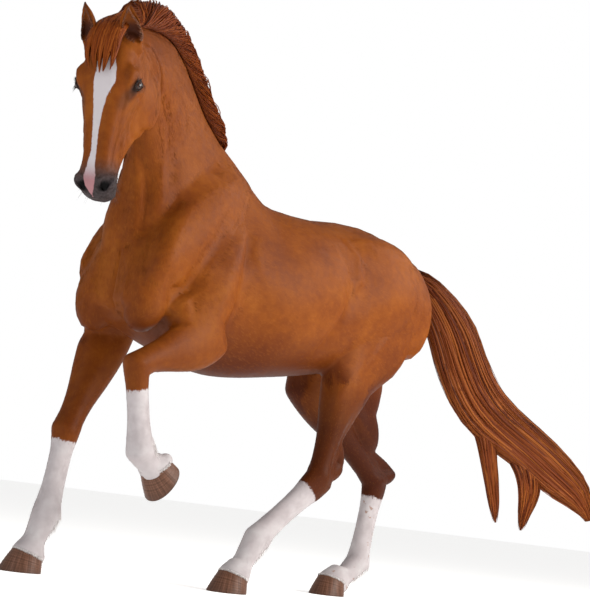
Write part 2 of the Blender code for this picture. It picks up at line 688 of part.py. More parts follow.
def islands(obj):
    """The separate bodies of a mesh, as bmeshes."""
    bm = bmesh.new()
    bm.from_mesh(obj.data)
    bm.verts.ensure_lookup_table()
    seen = set()
    found = []
    for start in bm.verts:
        if start in seen:
            continue
        group, stack = set(), [start]
        while stack:
            vert = stack.pop()
            if vert in group:
                continue
            group.add(vert)
            stack.extend(e.other_vert(vert) for e in vert.link_edges)
        seen |= group
        piece = bmesh.new()
        copies = {v: piece.verts.new(v.co) for v in group}
        for face in {f for v in group for f in v.link_faces}:
            piece.faces.new([copies[v] for v in face.verts])
        found.append(piece)
    bm.free()
    return found


def name_pieces(obj, seeds, material_of):
    """Each body of a cut mesh becomes an object, named by the point nearest to it."""
    pieces = [piece for piece in islands(obj) if abs(piece.calc_volume()) > SMALLEST_PIECE]
    as_helper(obj)
    pairs = sorted(((min((vert.co - seed).length for vert in piece.verts), name, index)
                    for name, seed in seeds.items() for index, piece in enumerate(pieces)))
    taken, named = set(), set()
    for _, name, index in pairs:
        if name not in named and index not in taken:
            named.add(name)
            taken.add(index)
            new_object(name, pieces[index], [material_of(name)])
    print(len(pieces), "bodies for", len(seeds), "names, unnamed:", sorted(set(seeds) - named))


def add_tail_cuts(bm):
    aside = Vector((-sin(TAIL_SWING), cos(TAIL_SWING), 0))
    for first, second, half in TAIL_CUTS:
        run = (tail_point(*second) - tail_point(*first)).normalized()
        slab(bm, tail_point(*first), run, aside, 0.10, half)


def centre_under_box():
    """Moves everything so that the origin is under the middle of the whole horse's box."""
    solids = [obj for obj in bpy.context.scene.objects if not obj.hide_render]
    points = [vert.co for obj in solids for vert in obj.data.vertices]
    low = [min(point[i] for point in points) for i in range(3)]
    high = [max(point[i] for point in points) for i in range(3)]
    shift = Vector((-(low[0] + high[0]) / 2, -(low[1] + high[1]) / 2, -low[2]))
    for obj in solids:
        obj.data.transform(Matrix.Translation(shift))
    return shift


def add_eyeball(bm, side, radius):
    frame = (HEAD_TURN @ Matrix.Rotation(radians(90), 3, "X") @ Matrix.Diagonal((radius,) * 3)).to_4x4()
    frame.translation = on_head(EYE[0], EYE[1] * side, EYE[2])
    bmesh.ops.create_uvsphere(bm, u_segments=EYE_SIDES, v_segments=EYE_RINGS, radius=1, matrix=frame)


def add_sockets(bm):
    """Hollows in the head for the eyeballs and the nostrils."""
    for side in (1, -1):
        add_eyeball(bm, side, EYE_RADIUS + GAP)
        turn = Matrix.Rotation(NOSTRIL_TURN * -side, 3, "X")
        frame = (HEAD_TURN @ turn @ Matrix.Diagonal(NOSTRIL_RADII)).to_4x4()
        frame.translation = on_head(NOSTRIL[0], NOSTRIL[1] * side, NOSTRIL[2])
        bmesh.ops.create_uvsphere(bm, u_segments=EYE_SIDES, v_segments=EYE_RINGS, radius=1, matrix=frame)


def add_hoof_pucks(bm):
    """Blocks that cut each foot off at its coronet, where the hoof begins."""
    for leg in LEGS:
        frame = hoof_frame(leg)
        rings = []
        for drop in (PUCK_DEPTH, 0):
            rings.append([])
            for k in range(RING_SIDES):
                angle = 2 * pi * k / RING_SIDES
                x, y = PUCK_HALF[0] * cos(angle) - HOOF_CORONET_BACK, PUCK_HALF[1] * sin(angle)
                rings[-1].append(frame @ Vector((x, y, coronet_height(x) - drop)))
        loft(bm, rings)


def add_flesh(bm):
    add_trunk(bm)
    add_neck(bm)
    add_head(bm)
    add_muscles(bm)
    for leg, joints in LEGS.items():
        add_leg(bm, joints, FORE_SECTIONS if leg.startswith("fore") else HIND_SECTIONS)


def make_flesh():
    """The body in one piece, without eyes, hooves, ears and hair."""
    bm = bmesh.new()
    add_flesh(bm)
    flesh = new_object("flesh", bm)
    fuse(flesh, FLESH_VOXEL, 5, FLESH_TRIANGLES, broadness)
    subtract(flesh, helper("sockets", add_sockets))
    subtract(flesh, helper("pucks", add_hoof_pucks))
    return flesh


def part_flesh(flesh, coat, white):
    """Cuts the body into its named pieces."""
    subtract(flesh, helper("cuts", add_cuts))
    seeds = part_names()
    thighs = {name: seeds.pop(name) for name in ("thigh_left", "thigh_right")}
    name_pieces(flesh, seeds, lambda name: white if name.split("_")[0] in ("cannon", "pastern") else coat)
    thighs["trunk_hindquarters"] = seeds["trunk_hindquarters"]
    hind = bpy.data.objects["trunk_hindquarters"]
    hind.name = "hindquarters_whole"
    subtract(hind, helper("thigh_cut_left", lambda b: add_thigh_cut(b, 1)))
    subtract(hind, helper("thigh_cut_right", lambda b: add_thigh_cut(b, -1)))
    subtract(hind, helper("midline_cut", add_midline_cut))
    name_pieces(hind, thighs, lambda name: coat)


def make_hooves(horn):
    for leg in LEGS:
        bm = bmesh.new()
        add_hoof(bm, hoof_frame(leg), GAP)
        new_object("hoof_" + leg, bm, [horn])


def make_eyes(material):
    for side, word in ((1, "left"), (-1, "right")):
        bm = bmesh.new()
        add_eyeball(bm, side, EYE_RADIUS)
        new_object("eye_" + word, bm, [material])


def make_ears(coat, whole):
    ears = []
    for side, word in ((1, "left"), (-1, "right")):
        bm = bmesh.new()
        loft(bm, ear_rings(side))
        ear = new_object("ear_" + word, bm, [coat])
        thin_to(ear, EAR_TRIANGLES)
        subtract(ear, whole)
        ears.append(ear)
    return ears


def make_mane_and_forelock(hair, whole, ears):
    bm = bmesh.new()
    add_mane(bm)
    mane = new_object("mane", bm, [hair])
    fuse(mane, HAIR_VOXEL, 2, MANE_TRIANGLES)
    subtract(mane, whole)
    bm = bmesh.new()
    add_forelock(bm)
    forelock = new_object("forelock", bm, [hair])
    thin_to(forelock, FORELOCK_TRIANGLES)
    subtract(forelock, whole)
    subtract(forelock, grown(mane, CLEARANCE, "grown_mane"))
    for ear in ears:
        subtract(forelock, grown(ear, CLEARANCE, "grown_" + ear.name))
        subtract(mane, grown(ear, CLEARANCE, "grown_again_" + ear.name))


def make_tail(hair, whole):
    bm = bmesh.new()
    add_tail(bm)
    tail = new_object("tail", bm)
    fuse(tail, HAIR_VOXEL, 2, TAIL_TRIANGLES)
    subtract(tail, whole)
    subtract(tail, helper("tail_cuts", add_tail_cuts))
    seeds = {name: tail_point(along, height) for name, (along, height) in TAIL_SEEDS.items()}
    name_pieces(tail, seeds, lambda name: hair)


def build():
    clear_scene()
    coat = make_material("chestnut coat", CHESTNUT, 0.45)
    hair = make_material("red mane hair", MANE_RED, 0.5)
    flesh = make_flesh()
    whole = grown(flesh, CLEARANCE, "grown_flesh")
    part_flesh(flesh, coat, make_material("white stocking", STOCKING_WHITE, 0.55))
    make_hooves(make_material("hoof horn", HOOF_HORN, 0.4))
    make_eyes(make_material("brown eye", EYE_BROWN, 0.05))
    make_mane_and_forelock(hair, whole, make_ears(coat, whole))
    make_tail(hair, whole)
    return centre_under_box()


SHIFT = build()
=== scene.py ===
import json
from math import cos, pi, radians, sin, sqrt

import bmesh
import bpy
import numpy as np
from mathutils import Matrix, Vector
from mathutils.bvhtree import BVHTree

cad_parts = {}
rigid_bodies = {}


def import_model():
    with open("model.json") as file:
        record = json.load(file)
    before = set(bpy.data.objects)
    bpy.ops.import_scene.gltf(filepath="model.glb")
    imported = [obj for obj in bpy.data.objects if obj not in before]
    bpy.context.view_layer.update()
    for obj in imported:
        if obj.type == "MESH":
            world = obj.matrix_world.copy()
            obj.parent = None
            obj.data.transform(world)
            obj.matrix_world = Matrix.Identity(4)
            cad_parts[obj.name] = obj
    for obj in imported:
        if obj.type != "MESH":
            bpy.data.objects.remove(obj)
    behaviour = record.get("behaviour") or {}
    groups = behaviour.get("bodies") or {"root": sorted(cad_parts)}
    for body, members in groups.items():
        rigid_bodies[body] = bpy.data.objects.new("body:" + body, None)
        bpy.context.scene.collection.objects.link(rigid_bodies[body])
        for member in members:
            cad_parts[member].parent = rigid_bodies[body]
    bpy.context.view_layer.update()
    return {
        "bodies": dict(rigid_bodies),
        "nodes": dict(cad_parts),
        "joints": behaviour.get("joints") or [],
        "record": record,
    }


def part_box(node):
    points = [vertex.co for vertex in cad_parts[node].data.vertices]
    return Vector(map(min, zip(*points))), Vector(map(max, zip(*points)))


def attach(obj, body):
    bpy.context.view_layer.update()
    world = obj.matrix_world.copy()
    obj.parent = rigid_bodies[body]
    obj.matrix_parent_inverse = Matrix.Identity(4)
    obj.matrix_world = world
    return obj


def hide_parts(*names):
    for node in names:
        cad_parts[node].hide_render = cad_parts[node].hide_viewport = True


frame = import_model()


rng = np.random.default_rng(11)

# Lengths are in metres. The horse is made in its own axes: +X ahead, +Y its left, the floor at z = 0
# and x = 0 near the middle of the barrel. Each finished mesh is then moved to the frame's origin.


def array(values):
    return np.asarray(values, float)


def unit(vectors):
    vectors = array(vectors)
    return vectors / np.maximum(np.linalg.norm(vectors, axis=-1, keepdims=True), 1e-12)


def norms(vectors):
    return np.linalg.norm(vectors, axis=-1)


def bent(values, power):  # a power that keeps the sign
    return np.abs(values) ** power * np.sign(values)


def bell(values, at, width):  # 1 in the middle, falling off smoothly on both sides
    return np.exp(-((values - at) / width) ** 2)


def turnsOf(sides):
    return np.arange(sides) * 2 * pi / sides


def dotted(first, second):
    return (array(first) * array(second)).sum(-1)


def rise(values, low, high):  # 0 below low, 1 above high, smooth between
    t = np.clip((array(values) - low) / (high - low), 0, 1)
    return t * t * (3 - 2 * t)


def shareOf(values, start, length):  # 0 at the start of a stretch and 1 at its end
    return np.clip((values - start) / length, 0, 1)


def curveRows(rows, steps):  # a smooth run through rows of numbers
    rows = array(rows)
    padded = np.vstack([2 * rows[0] - rows[1], rows, 2 * rows[-1] - rows[-2]])
    found = []
    for i in range(1, len(padded) - 2):
        a, b, c, d = padded[i - 1:i + 3]
        for k in range(steps):
            t = k / steps
            found.append(0.5 * (2 * b + (c - a) * t + (2 * a - 5 * b + 4 * c - d) * t * t
                                + (3 * b - a - 3 * c + d) * t ** 3))
    found.append(rows[-1])
    return array(found)


def rowAt(rows, share):  # rows read at shares 0..1 of their run
    place = np.clip(array(share), 0, 1) * (len(rows) - 1)
    low = np.minimum(place.astype(int), len(rows) - 2)
    mix = (place - low)[..., None]
    return rows[low] * (1 - mix) + rows[low + 1] * mix


def newObject(name, data, material=None):
    obj = bpy.data.objects.new(name, data)
    bpy.context.scene.collection.objects.link(obj)
    if material:
        data.materials.append(material)
    return obj


def bmeshObject(name, bm, material=None):
    bmesh.ops.recalc_face_normals(bm, faces=bm.faces)
    mesh = bpy.data.meshes.new(name)
    bm.to_mesh(mesh)
    bm.free()
    mesh.shade_smooth()
    return newObject(name, mesh, material)


def arrayObject(name, points, faces, material=None):  # many small shells at once, all faces of one kind
    mesh = bpy.data.meshes.new(name)
    sides = faces.shape[1]
    mesh.vertices.add(len(points))
    mesh.vertices.foreach_set("co", points.astype(np.float32).ravel())
    mesh.loops.add(faces.size)
    mesh.loops.foreach_set("vertex_index", faces.astype(np.int32).ravel())
    mesh.polygons.add(len(faces))
    mesh.polygons.foreach_set("loop_start", np.arange(len(faces), dtype=np.int32) * sides)
    mesh.polygons.foreach_set("loop_total", np.full(len(faces), sides, np.int32))
    mesh.update(calc_edges=True)
    mesh.shade_smooth()
    return newObject(name, mesh, material)


def readOut(items, key, width, kind):  # one row of numbers for each item of a mesh
    found = np.zeros(len(items) * width, kind)
    items.foreach_get(key, found)
    return found.reshape(-1, width)


def meshPoints(mesh):
    return readOut(mesh.vertices, "co", 3, np.float32).astype(float)


def meshNormals(mesh):
    return readOut(mesh.vertex_normals, "vector", 3, np.float32).astype(float)


def treeOf(obj):  # to find places on a finished surface
    return BVHTree.FromPolygons(meshPoints(obj.data).tolist(), [tuple(p.vertices) for p in obj.data.polygons])


def setPoints(mesh, points):
    mesh.vertices.foreach_set("co", points.astype(np.float32).ravel())
    mesh.update()


def addValues(mesh, name, values):  # a number at each vertex, for a material to read
    layer = mesh.attributes.new(name, "FLOAT", "POINT")
    layer.data.foreach_set("value", array(values).astype(np.float32))


def applied(obj):  # the object's mesh as its modifiers leave it
    graph = bpy.context.evaluated_depsgraph_get()
    mesh = bpy.data.meshes.new_from_object(obj.evaluated_get(graph))
    obj.modifiers.clear()
    obj.data = mesh
    return mesh


def tube(bm, rings):  # a closed skin over rings of points
    rings = array(rings)
    count, sides = rings.shape[:2]
    made = bmesh.ops.create_grid(bm, x_segments=sides, y_segments=count - 1, size=1)["verts"]
    for vert, point in zip(made, np.concatenate([rings, rings[:, :1]], 1).reshape(-1, 3)):
        vert.co = point
    bmesh.ops.remove_doubles(bm, verts=made, dist=1e-6)
    bmesh.ops.holes_fill(bm, edges=[edge for edge in bm.edges if edge.is_boundary])


def ball(bm, frame, segments=24, rings=16):
    bmesh.ops.create_uvsphere(bm, u_segments=segments, v_segments=rings, radius=1, matrix=frame)


def framed(axes, place):  # a 4x4 matrix from three axes and a place
    matrix = Matrix([Vector(axis) for axis in axes]).transposed().to_4x4()
    matrix.translation = Vector(place)
    return matrix


headSet = {"poll": (1.309, 0.283, 1.885), "yaw": 27.5, "pitch": 87.5, "roll": -1.5, "lean": 1.5}
headTurn = array(Matrix.Rotation(radians(headSet["yaw"]), 3, "Z")
                 @ Matrix.Rotation(radians(headSet["pitch"]), 3, "Y")
                 @ Matrix.Rotation(radians(headSet["roll"]), 3, "X")
                 @ Matrix.Rotation(radians(headSet["lean"]), 3, "Z"))
headPoll = array(headSet["poll"])


def onHead(a, s, n):
    local = np.stack(np.broadcast_arrays(array(a), array(s), array(n)), -1)
    return headPoll + local @ headTurn.T


def headWay(a, s, n):
    return headTurn @ array((a, s, n))


def inHead(points):
    local = (points - headPoll) @ headTurn
    return local[..., 0], local[..., 1], local[..., 2]


headPlane = {"spot": (1.112, 0.225, 1.73), "way": (1.0, 0.1, -0.36), "floor": 1.26}  # parts head from neck


def cheekPlace(values, side):  # the place of an eye or nostril, side 1 on the left and -1 on the right
    return onHead(values["a"], values["s"] * side, values["n"])


def beforeNeck(points):
    return (points - array(headPlane["spot"])) @ unit(headPlane["way"])


def isHead(points):
    return (beforeNeck(points) > 0) & (points[:, 2] > headPlane["floor"])


eyeSet = {"a": 0.19, "s": 0.1005, "n": -0.057, "radius": 0.0215}


def middleOf(node):
    low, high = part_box(node)
    return (array(low) + array(high)) / 2


origin = middleOf("eye_left") - cheekPlace(eyeSet, 1)


def place(obj):  # from the horse's own axes to the frame's
    obj.data.transform(Matrix.Translation(Vector(origin)))
    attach(obj, "root")
    return obj


def hexColour(code):  # sRGB hex to linear
    values = [int(code[i:i + 2], 16) / 255 for i in (1, 3, 5)]
    return (*(v / 12.92 if v <= 0.04045 else ((v + 0.055) / 1.055) ** 2.4 for v in values), 1)


def newMaterial(name):
    material = bpy.data.materials.new(name)
    material.use_nodes = True
    material.node_tree.nodes.clear()
    return material


def placesOf(material):
    return addNode(material, "ShaderNodeTexCoord").outputs["Object"]


def addNode(material, kind, settings=None, **inputs):
    tree = getattr(material, "node_tree", material)
    node = tree.nodes.new(kind)
    for key, value in (settings or {}).items():
        setattr(node, key, value)
    for key, value in inputs.items():
        socket = node.inputs[int(key[1:]) if key[1:].isdigit() else key.replace("_", " ")]
        if isinstance(value, bpy.types.NodeSocket):
            tree.links.new(value, socket)
        else:
            socket.default_value = value
    return node


def rampOf(value, stops):  # a colour ramp from hex colours or greys
    node = addNode(value.id_data, "ShaderNodeValToRGB", Fac=value)
    elements = node.color_ramp.elements
    while len(elements) < len(stops):
        elements.new(0.5)
    for element, (position, colour) in zip(elements, stops):
        element.position = position
        element.color = hexColour(colour) if isinstance(colour, str) else (colour, colour, colour, 1)
    return node.outputs[0]


def mathOf(operation, first, second=0.0):
    return addNode(first.id_data, "ShaderNodeMath", {"operation": operation}, i0=first, i1=second).outputs[0]


def times(first, second):
    return mathOf("MULTIPLY", first, second)


def plus(first, second):
    return mathOf("ADD", first, second)


def sharpened(value, steepness):  # 0 outside an edge and 1 inside it
    return addNode(value.id_data, "ShaderNodeClamp", Value=plus(times(value, steepness), 0.5)).outputs[0]


def mixOf(factor, first, second):
    second = hexColour(second) if isinstance(second, str) else second
    return addNode(factor.id_data, "ShaderNodeMix", {"data_type": "RGBA"}, i0=factor, i6=first, i7=second).outputs[2]


def valuesOf(material, *names):
    return [addNode(material, "ShaderNodeAttribute", {"attribute_name": name}).outputs["Fac"] for name in names]


def noiseOf(vector, millimetres, detail=3.0, rough=0.55):  # millimetres is the size of a blotch
    return addNode(vector.id_data, "ShaderNodeTexNoise", Vector=vector, Scale=1000.0 / millimetres,
                   Detail=detail, Roughness=rough).outputs[0]


def bareNoise(scale, detail, rough=0.5, **axes):  # noise read along values of the mesh
    tree = next(iter(axes.values())).id_data
    vector = addNode(tree, "ShaderNodeCombineXYZ", **axes).outputs[0]
    return addNode(tree, "ShaderNodeTexNoise", Vector=vector, Scale=scale, Detail=detail, Roughness=rough).outputs[0]


def finished(material, height=None, strength=0.0, distance=0.0, **inputs):
    shader = addNode(material, "ShaderNodeBsdfPrincipled", **inputs)
    if height:
        bump = addNode(material, "ShaderNodeBump", Height=height, Strength=strength, Distance=distance)
        material.node_tree.links.new(bump.outputs[0], shader.inputs["Normal"])
    addNode(material, "ShaderNodeOutputMaterial", Surface=shader.outputs[0])
    return material


trunkRows = curveRows((  # x, top, bottom, half width, how narrow the top is
    (-0.7, 1.385, 1.2, 0.075, 0.1), (-0.655, 1.424, 1.1, 0.15, 0.1), (-0.57, 1.452, 1.01, 0.205, 0.1),
    (-0.44, 1.487, 0.955, 0.242, 0.1), (-0.3, 1.513, 0.925, 0.255, 0.15), (-0.15, 1.508, 0.88, 0.246, 0.1),
    (0.0, 1.488, 0.85, 0.262, 0.05), (0.15, 1.486, 0.825, 0.276, 0.15), (0.28, 1.506, 0.806, 0.27, 0.35),
    (0.4, 1.602, 0.798, 0.246, 0.55), (0.52, 1.585, 0.812, 0.222, 0.5), (0.66, 1.53, 0.85, 0.205, 0.3),
    (0.78, 1.43, 0.89, 0.205, 0.1), (0.88, 1.31, 0.935, 0.19, 0.0), (0.945, 1.19, 1.0, 0.12, 0.0)), 6)
neckTable = (  # crest x, y, z, underline x, y, z, half width
    (0.34, 0.0, 1.565, 0.79, 0.0, 0.98, 0.205), (0.43, 0.0, 1.63, 0.925, 0.0, 1.13, 0.19),
    (0.52, 0.002, 1.69, 0.966, 0.008, 1.27, 0.153), (0.61, 0.012, 1.766, 0.962, 0.034, 1.39, 0.118),
    (0.7, 0.034, 1.853, 0.974, 0.078, 1.5, 0.095), (0.8, 0.062, 1.935, 1.01, 0.125, 1.58, 0.085),
    (0.91, 0.104, 1.975, 1.04, 0.165, 1.64, 0.08), (1.03, 0.155, 1.968, 1.085, 0.205, 1.675, 0.076),
    (1.14, 0.208, 1.945, 1.12, 0.235, 1.7, 0.07), (1.23, 0.252, 1.905, 1.15, 0.25, 1.73, 0.062))
neckRows = curveRows(neckTable, 6)
neckShape = {"middle": 0.45, "ridge": 0.25}
legJoints = {  # from the trunk to the middle of the sole
    "foreRight": ((0.82, -0.165, 1.15), (0.715, -0.225, 0.895), (0.907, -0.168, 0.52),
                  (0.955, -0.16, 0.216), (1.025, -0.165, 0.0)),
    "foreLeft": ((0.79, 0.165, 1.15), (0.6, 0.18, 0.905), (0.96, 0.24, 0.77),
                 (0.88, 0.222, 0.474), (0.73, 0.2, 0.377)),
    "hindLeft": ((-0.48, 0.135, 1.25), (-0.215, 0.14, 0.89), (-0.11, 0.16, 0.466),
                 (0.162, 0.128, 0.214), (0.278, 0.13, 0.0)),
    "hindRight": ((-0.45, -0.135, 1.25), (-0.345, -0.18, 0.845), (-0.757, -0.125, 0.497),
                  (-0.716, -0.135, 0.15), (-0.556, -0.138, 0.0)),
}
legSections = {  # place (1 is the second joint), half width across, in front, behind
    "fore": ((0.35, 0.06, 0.11, 0.11), (0.8, 0.074, 0.108, 0.105), (1.0, 0.074, 0.104, 0.102),
             (1.2, 0.07, 0.098, 0.092), (1.45, 0.062, 0.082, 0.075), (1.7, 0.051, 0.062, 0.056),
             (1.88, 0.05, 0.054, 0.05), (2.0, 0.054, 0.053, 0.054), (2.12, 0.047, 0.047, 0.052),
             (2.28, 0.038, 0.041, 0.049), (2.6, 0.036, 0.04, 0.05), (2.84, 0.043, 0.045, 0.055),
             (3.0, 0.049, 0.051, 0.061), (3.2, 0.045, 0.047, 0.054), (3.45, 0.043, 0.043, 0.046),
             (3.75, 0.051, 0.05, 0.052)),
    "hind": ((0.25, 0.085, 0.17, 0.19), (0.6, 0.09, 0.158, 0.185), (0.9, 0.086, 0.128, 0.165),
             (1.12, 0.078, 0.108, 0.14), (1.35, 0.066, 0.084, 0.104), (1.62, 0.052, 0.056, 0.064),
             (1.85, 0.047, 0.052, 0.064), (2.0, 0.049, 0.06, 0.07), (2.14, 0.045, 0.054, 0.068),
             (2.32, 0.039, 0.045, 0.055), (2.6, 0.038, 0.043, 0.05), (2.85, 0.043, 0.046, 0.054),
             (3.0, 0.049, 0.05, 0.06), (3.2, 0.045, 0.046, 0.052), (3.45, 0.043, 0.043, 0.045),
             (3.75, 0.051, 0.049, 0.052)),
}
# Bones and sinews under the skin of a leg: place, degrees (0 in front, 90 outside, 180 behind, a pair for
# both sides), how far along and round they reach, and how high they stand
fetlockForms = (
    (2.98, (140, -140), 0.07, 24, 0.006), (3.1, 180, 0.05, 16, 0.007), (3.34, 180, 0.12, 40, -0.004),
    (3.6, (150, -150), 0.07, 24, 0.004),
)
legForms = {
    "fore": (
        (1.22, 25, 0.26, 38, 0.01), (1.25, 150, 0.28, 36, 0.008), (1.38, 88, 0.3, 13, -0.007),
        (1.4, -90, 0.3, 16, -0.004), (1.75, -92, 0.022, 12, 0.004), (1.99, 8, 0.075, 45, 0.005),
        (1.9, 60, 0.035, 24, 0.003), (1.95, 172, 0.055, 24, 0.012), (2.06, 120, 0.06, 20, -0.004),
        (2.5, (118, -118), 0.32, 13, -0.006), (2.5, 180, 0.34, 20, 0.004), (2.5, 148, 0.3, 10, -0.002),
    ) + fetlockForms,
    "hind": (
        (1.2, 60, 0.3, 40, 0.01), (1.55, 128, 0.22, 20, -0.012), (1.55, -128, 0.22, 20, -0.01),
        (1.85, (118, -118), 0.14, 18, -0.009), (1.98, -80, 0.07, 30, 0.007), (1.97, 80, 0.06, 30, 0.005),
        (2.0, 10, 0.06, 30, 0.003), (2.16, 60, 0.05, 20, -0.003), (2.52, (118, -118), 0.3, 13, -0.006),
        (2.5, 180, 0.34, 20, 0.004),
    ) + fetlockForms,
}
hoofSet = {"toe": (0.086, 0.056), "heel": (0.072, 0.052), "half": (0.071, 0.056), "height": 0.062,
           "back": 0.02, "slope": 0.36, "sides": 72, "rings": 22,
           "heading": {"foreRight": -12, "hindLeft": -4, "hindRight": 4},
           "sole": ((0.02, 0.01), (0.35, 0.009), (0.72, 0.006), (0.86, 0.0035), (0.9, 0.0), (0.985, 0.0)),
           "coronet": ((-0.013, 0.86), (-0.004, 0.99), (0.005, 1.07), (0.015, 1.04), (0.03, 0.92), (0.055, 0.74))}
muscles = {  # two ends, radius outward, radius across; on both sides
    "shoulderBlade": ((0.47, 0.095, 1.52), (0.87, 0.195, 1.11), 0.078, 0.135),
    "triceps": ((0.5, 0.165, 1.3), (0.64, 0.19, 0.96), 0.078, 0.13),
    "breast": ((0.84, 0.118, 1.16), (0.88, 0.135, 0.94), 0.09, 0.095),
    "croup": ((-0.53, 0.105, 1.355), (-0.15, 0.12, 1.378), 0.105, 0.108),
    "buttock": ((-0.6, 0.105, 1.32), (-0.575, 0.12, 1.05), 0.09, 0.105),
}
oneSided = (  # muscles of one side, as they stand in this pose
    ((-0.57, -0.148, 0.85), (-0.7, -0.134, 0.65), 0.054, 0.088),  # right calf
    ((-0.6, -0.13, 1.15), (-0.66, -0.135, 0.76), 0.07, 0.085),  # right hamstring
    ((-0.5, -0.135, 0.98), (-0.56, -0.135, 0.8), 0.06, 0.085),  # right inner thigh
    ((-0.54, 0.13, 1.1), (-0.33, 0.15, 0.88), 0.07, 0.08),  # left hamstring
)
hockTips = {"hindLeft": (-0.232, 0.16, 0.52), "hindRight": (-0.884, -0.13, 0.54)}


ringSides = {"body": 48, "leg": 64, "head": 56}


def oval(centre, side, front, halfSide, halfFront, halfBack, ridge=0.0, square=1.0, sides=ringSides["body"]):
    angle = turnsOf(sides)
    across, along = np.sin(angle), np.cos(angle)
    across = bent(across, square) * (1 - ridge * np.maximum(0, along) ** 1.5)
    reach = np.where(along > 0, halfFront, halfBack)
    return centre + np.outer(halfSide * across, side) + np.outer(reach * along, front)


def spindle(bm, first, second, outward, across, overrun=0.05):  # an egg-shaped muscle between two points
    first, second = Vector(first), Vector(second)
    axis = second - first
    length = axis.length / 2 + overrun
    axis.normalize()
    out = Vector((0, 1 if first.y > 0 else -1, 0))
    out = (out - axis * out.dot(axis)).normalized()
    ball(bm, framed((axis * length, out * outward, axis.cross(out) * across), (first + second) / 2))


def addTrunk(bm):
    rings = []
    for x, top, bottom, width, ridge in trunkRows:
        middle = bottom + 0.47 * (top - bottom)
        reach = (top - middle, middle - bottom)
        rings.append(oval(array((x, 0, middle)), (0, 1, 0), (0, 0, 1), width, *reach, ridge, 0.85))
    tube(bm, rings)


def neckFrame(rows):
    crest, under, width = rows[..., :3], rows[..., 3:6], rows[..., 6]
    up = crest - under
    depth = norms(up)
    up = unit(up)
    bend = 0.45 * shareOf(crest[..., 0], 0.6, 0.3)
    ahead = np.stack([np.ones_like(bend), bend, np.zeros_like(bend)], -1)
    side = unit(np.cross(up, ahead))
    return under + up * (depth * neckShape["middle"])[..., None], side, up, width, depth


def neckSkin(neck, angle):  # a point at an angle from the crest towards the right
    centre, side, up, width, depth = neck
    across, along = np.sin(angle), np.cos(angle)
    across = -bent(across, 0.9) * (1 - neckShape["ridge"] * np.maximum(0, along) ** 1.5)
    reach = np.where(along > 0, depth * (1 - neckShape["middle"]), depth * neckShape["middle"])
    return centre + side * (width * across)[..., None] + up * (reach * along)[..., None]


def addNeck(bm):
    rows = np.repeat(neckRows[:, None], ringSides["body"], 1)
    tube(bm, neckSkin(neckFrame(rows), np.broadcast_to(turnsOf(ringSides["body"]), rows.shape[:2])))


def legFrame(joints, place):  # middle, direction down the leg, side and front
    index = min(int(place), len(joints) - 2)
    share = place - index
    a, b = Vector(joints[index]), Vector(joints[index + 1])
    centre = a.lerp(b, share)
    down = (b - a).normalized()
    reach = 0.3
    if share < reach and index > 0:
        before = (a - Vector(joints[index - 1])).normalized()
        down = (down * (0.5 + share / reach / 2) + before * (0.5 - share / reach / 2)).normalized()
    if share > 1 - reach and index < len(joints) - 2:
        after = (Vector(joints[index + 2]) - b).normalized()
        mix = (share - 1 + reach) / reach / 2
        down = (down * (1 - mix) + after * mix).normalized()
    side = Vector((0, 1, 0))
    side = (side - down * side.dot(down)).normalized()
    return array(centre), array(down), array(side), array(down.cross(side))


def addLeg(bm, leg):
    kind = leg[:4]
    outer = 1 if leg.endswith("Left") else -1
    angle = turnsOf(ringSides["leg"])
    rings = []
    for spot, across, front, back in curveRows(legSections[kind], 8):
        centre, _, side, ahead = legFrame(legJoints[leg], spot)
        ring = oval(centre, side, ahead, across, front, back, sides=len(angle))
        lift = np.zeros(len(angle))
        for at, degrees, alongReach, roundReach, height in legForms[kind]:
            for degree in np.atleast_1d(degrees).tolist():
                turn = (angle * outer - radians(degree) + pi) % (2 * pi) - pi
                lift += height * np.exp(-((spot - at) / alongReach) ** 2 - (turn / radians(roundReach)) ** 2)
        rings.append(ring + unit(ring - centre) * lift[:, None])
    tube(bm, rings)


headRows = (  # a, face n, under n, half width near the face, half width at the jaw
    (-0.02, -0.045, -0.15, 0.057, 0.056), (0.015, -0.008, -0.195, 0.077, 0.078),
    (0.08, 0.01, -0.25, 0.098, 0.098), (0.145, 0.017, -0.283, 0.109, 0.108),
    (0.2, 0.013, -0.296, 0.111, 0.11), (0.255, 0.006, -0.288, 0.094, 0.104),
    (0.315, 0.0, -0.25, 0.078, 0.088), (0.38, -0.006, -0.203, 0.067, 0.07),
    (0.44, -0.01, -0.174, 0.064, 0.057), (0.492, -0.012, -0.16, 0.07, 0.052),
    (0.535, -0.02, -0.156, 0.072, 0.052), (0.568, -0.044, -0.152, 0.061, 0.049),
    (0.586, -0.072, -0.136, 0.035, 0.03))
headLumps = (  # middle, half sizes; on both sides
    ((0.165, 0.086, -0.028), (0.048, 0.029, 0.026)), ((0.193, 0.083, -0.058), (0.04, 0.029, 0.031)),
    ((0.195, 0.082, -0.195), (0.112, 0.038, 0.097)), ((0.33, 0.065, -0.085), (0.11, 0.017, 0.018)),
    ((0.526, 0.05, -0.055), (0.036, 0.028, 0.031)), ((0.045, 0.064, -0.06), (0.05, 0.038, 0.048)))

chinSet = {"spot": (0.553, 0, -0.144), "sizes": (0.032, 0.03, 0.026)}


def addHead(bm):
    angle = turnsOf(ringSides["head"])
    across, along = np.sin(angle), np.cos(angle)
    rings = []
    for a, face, under, width, jaw in curveRows(headRows, 8):
        half = width + (jaw - width) * np.minimum(1, (0.5 - 0.5 * along) * 1.25)
        n = (face + under) / 2 + (face - under) / 2 * bent(along, 0.8)
        rings.append(onHead(a, half * bent(across, 0.62), n))
    tube(bm, rings)
    for side in (1, -1):
        for (a, s, n), sizes in headLumps:
            ball(bm, framed((headTurn * array(sizes)).T, onHead(a, s * side, n)))
    ball(bm, framed((headTurn * array(chinSet["sizes"])).T, onHead(*chinSet["spot"])))


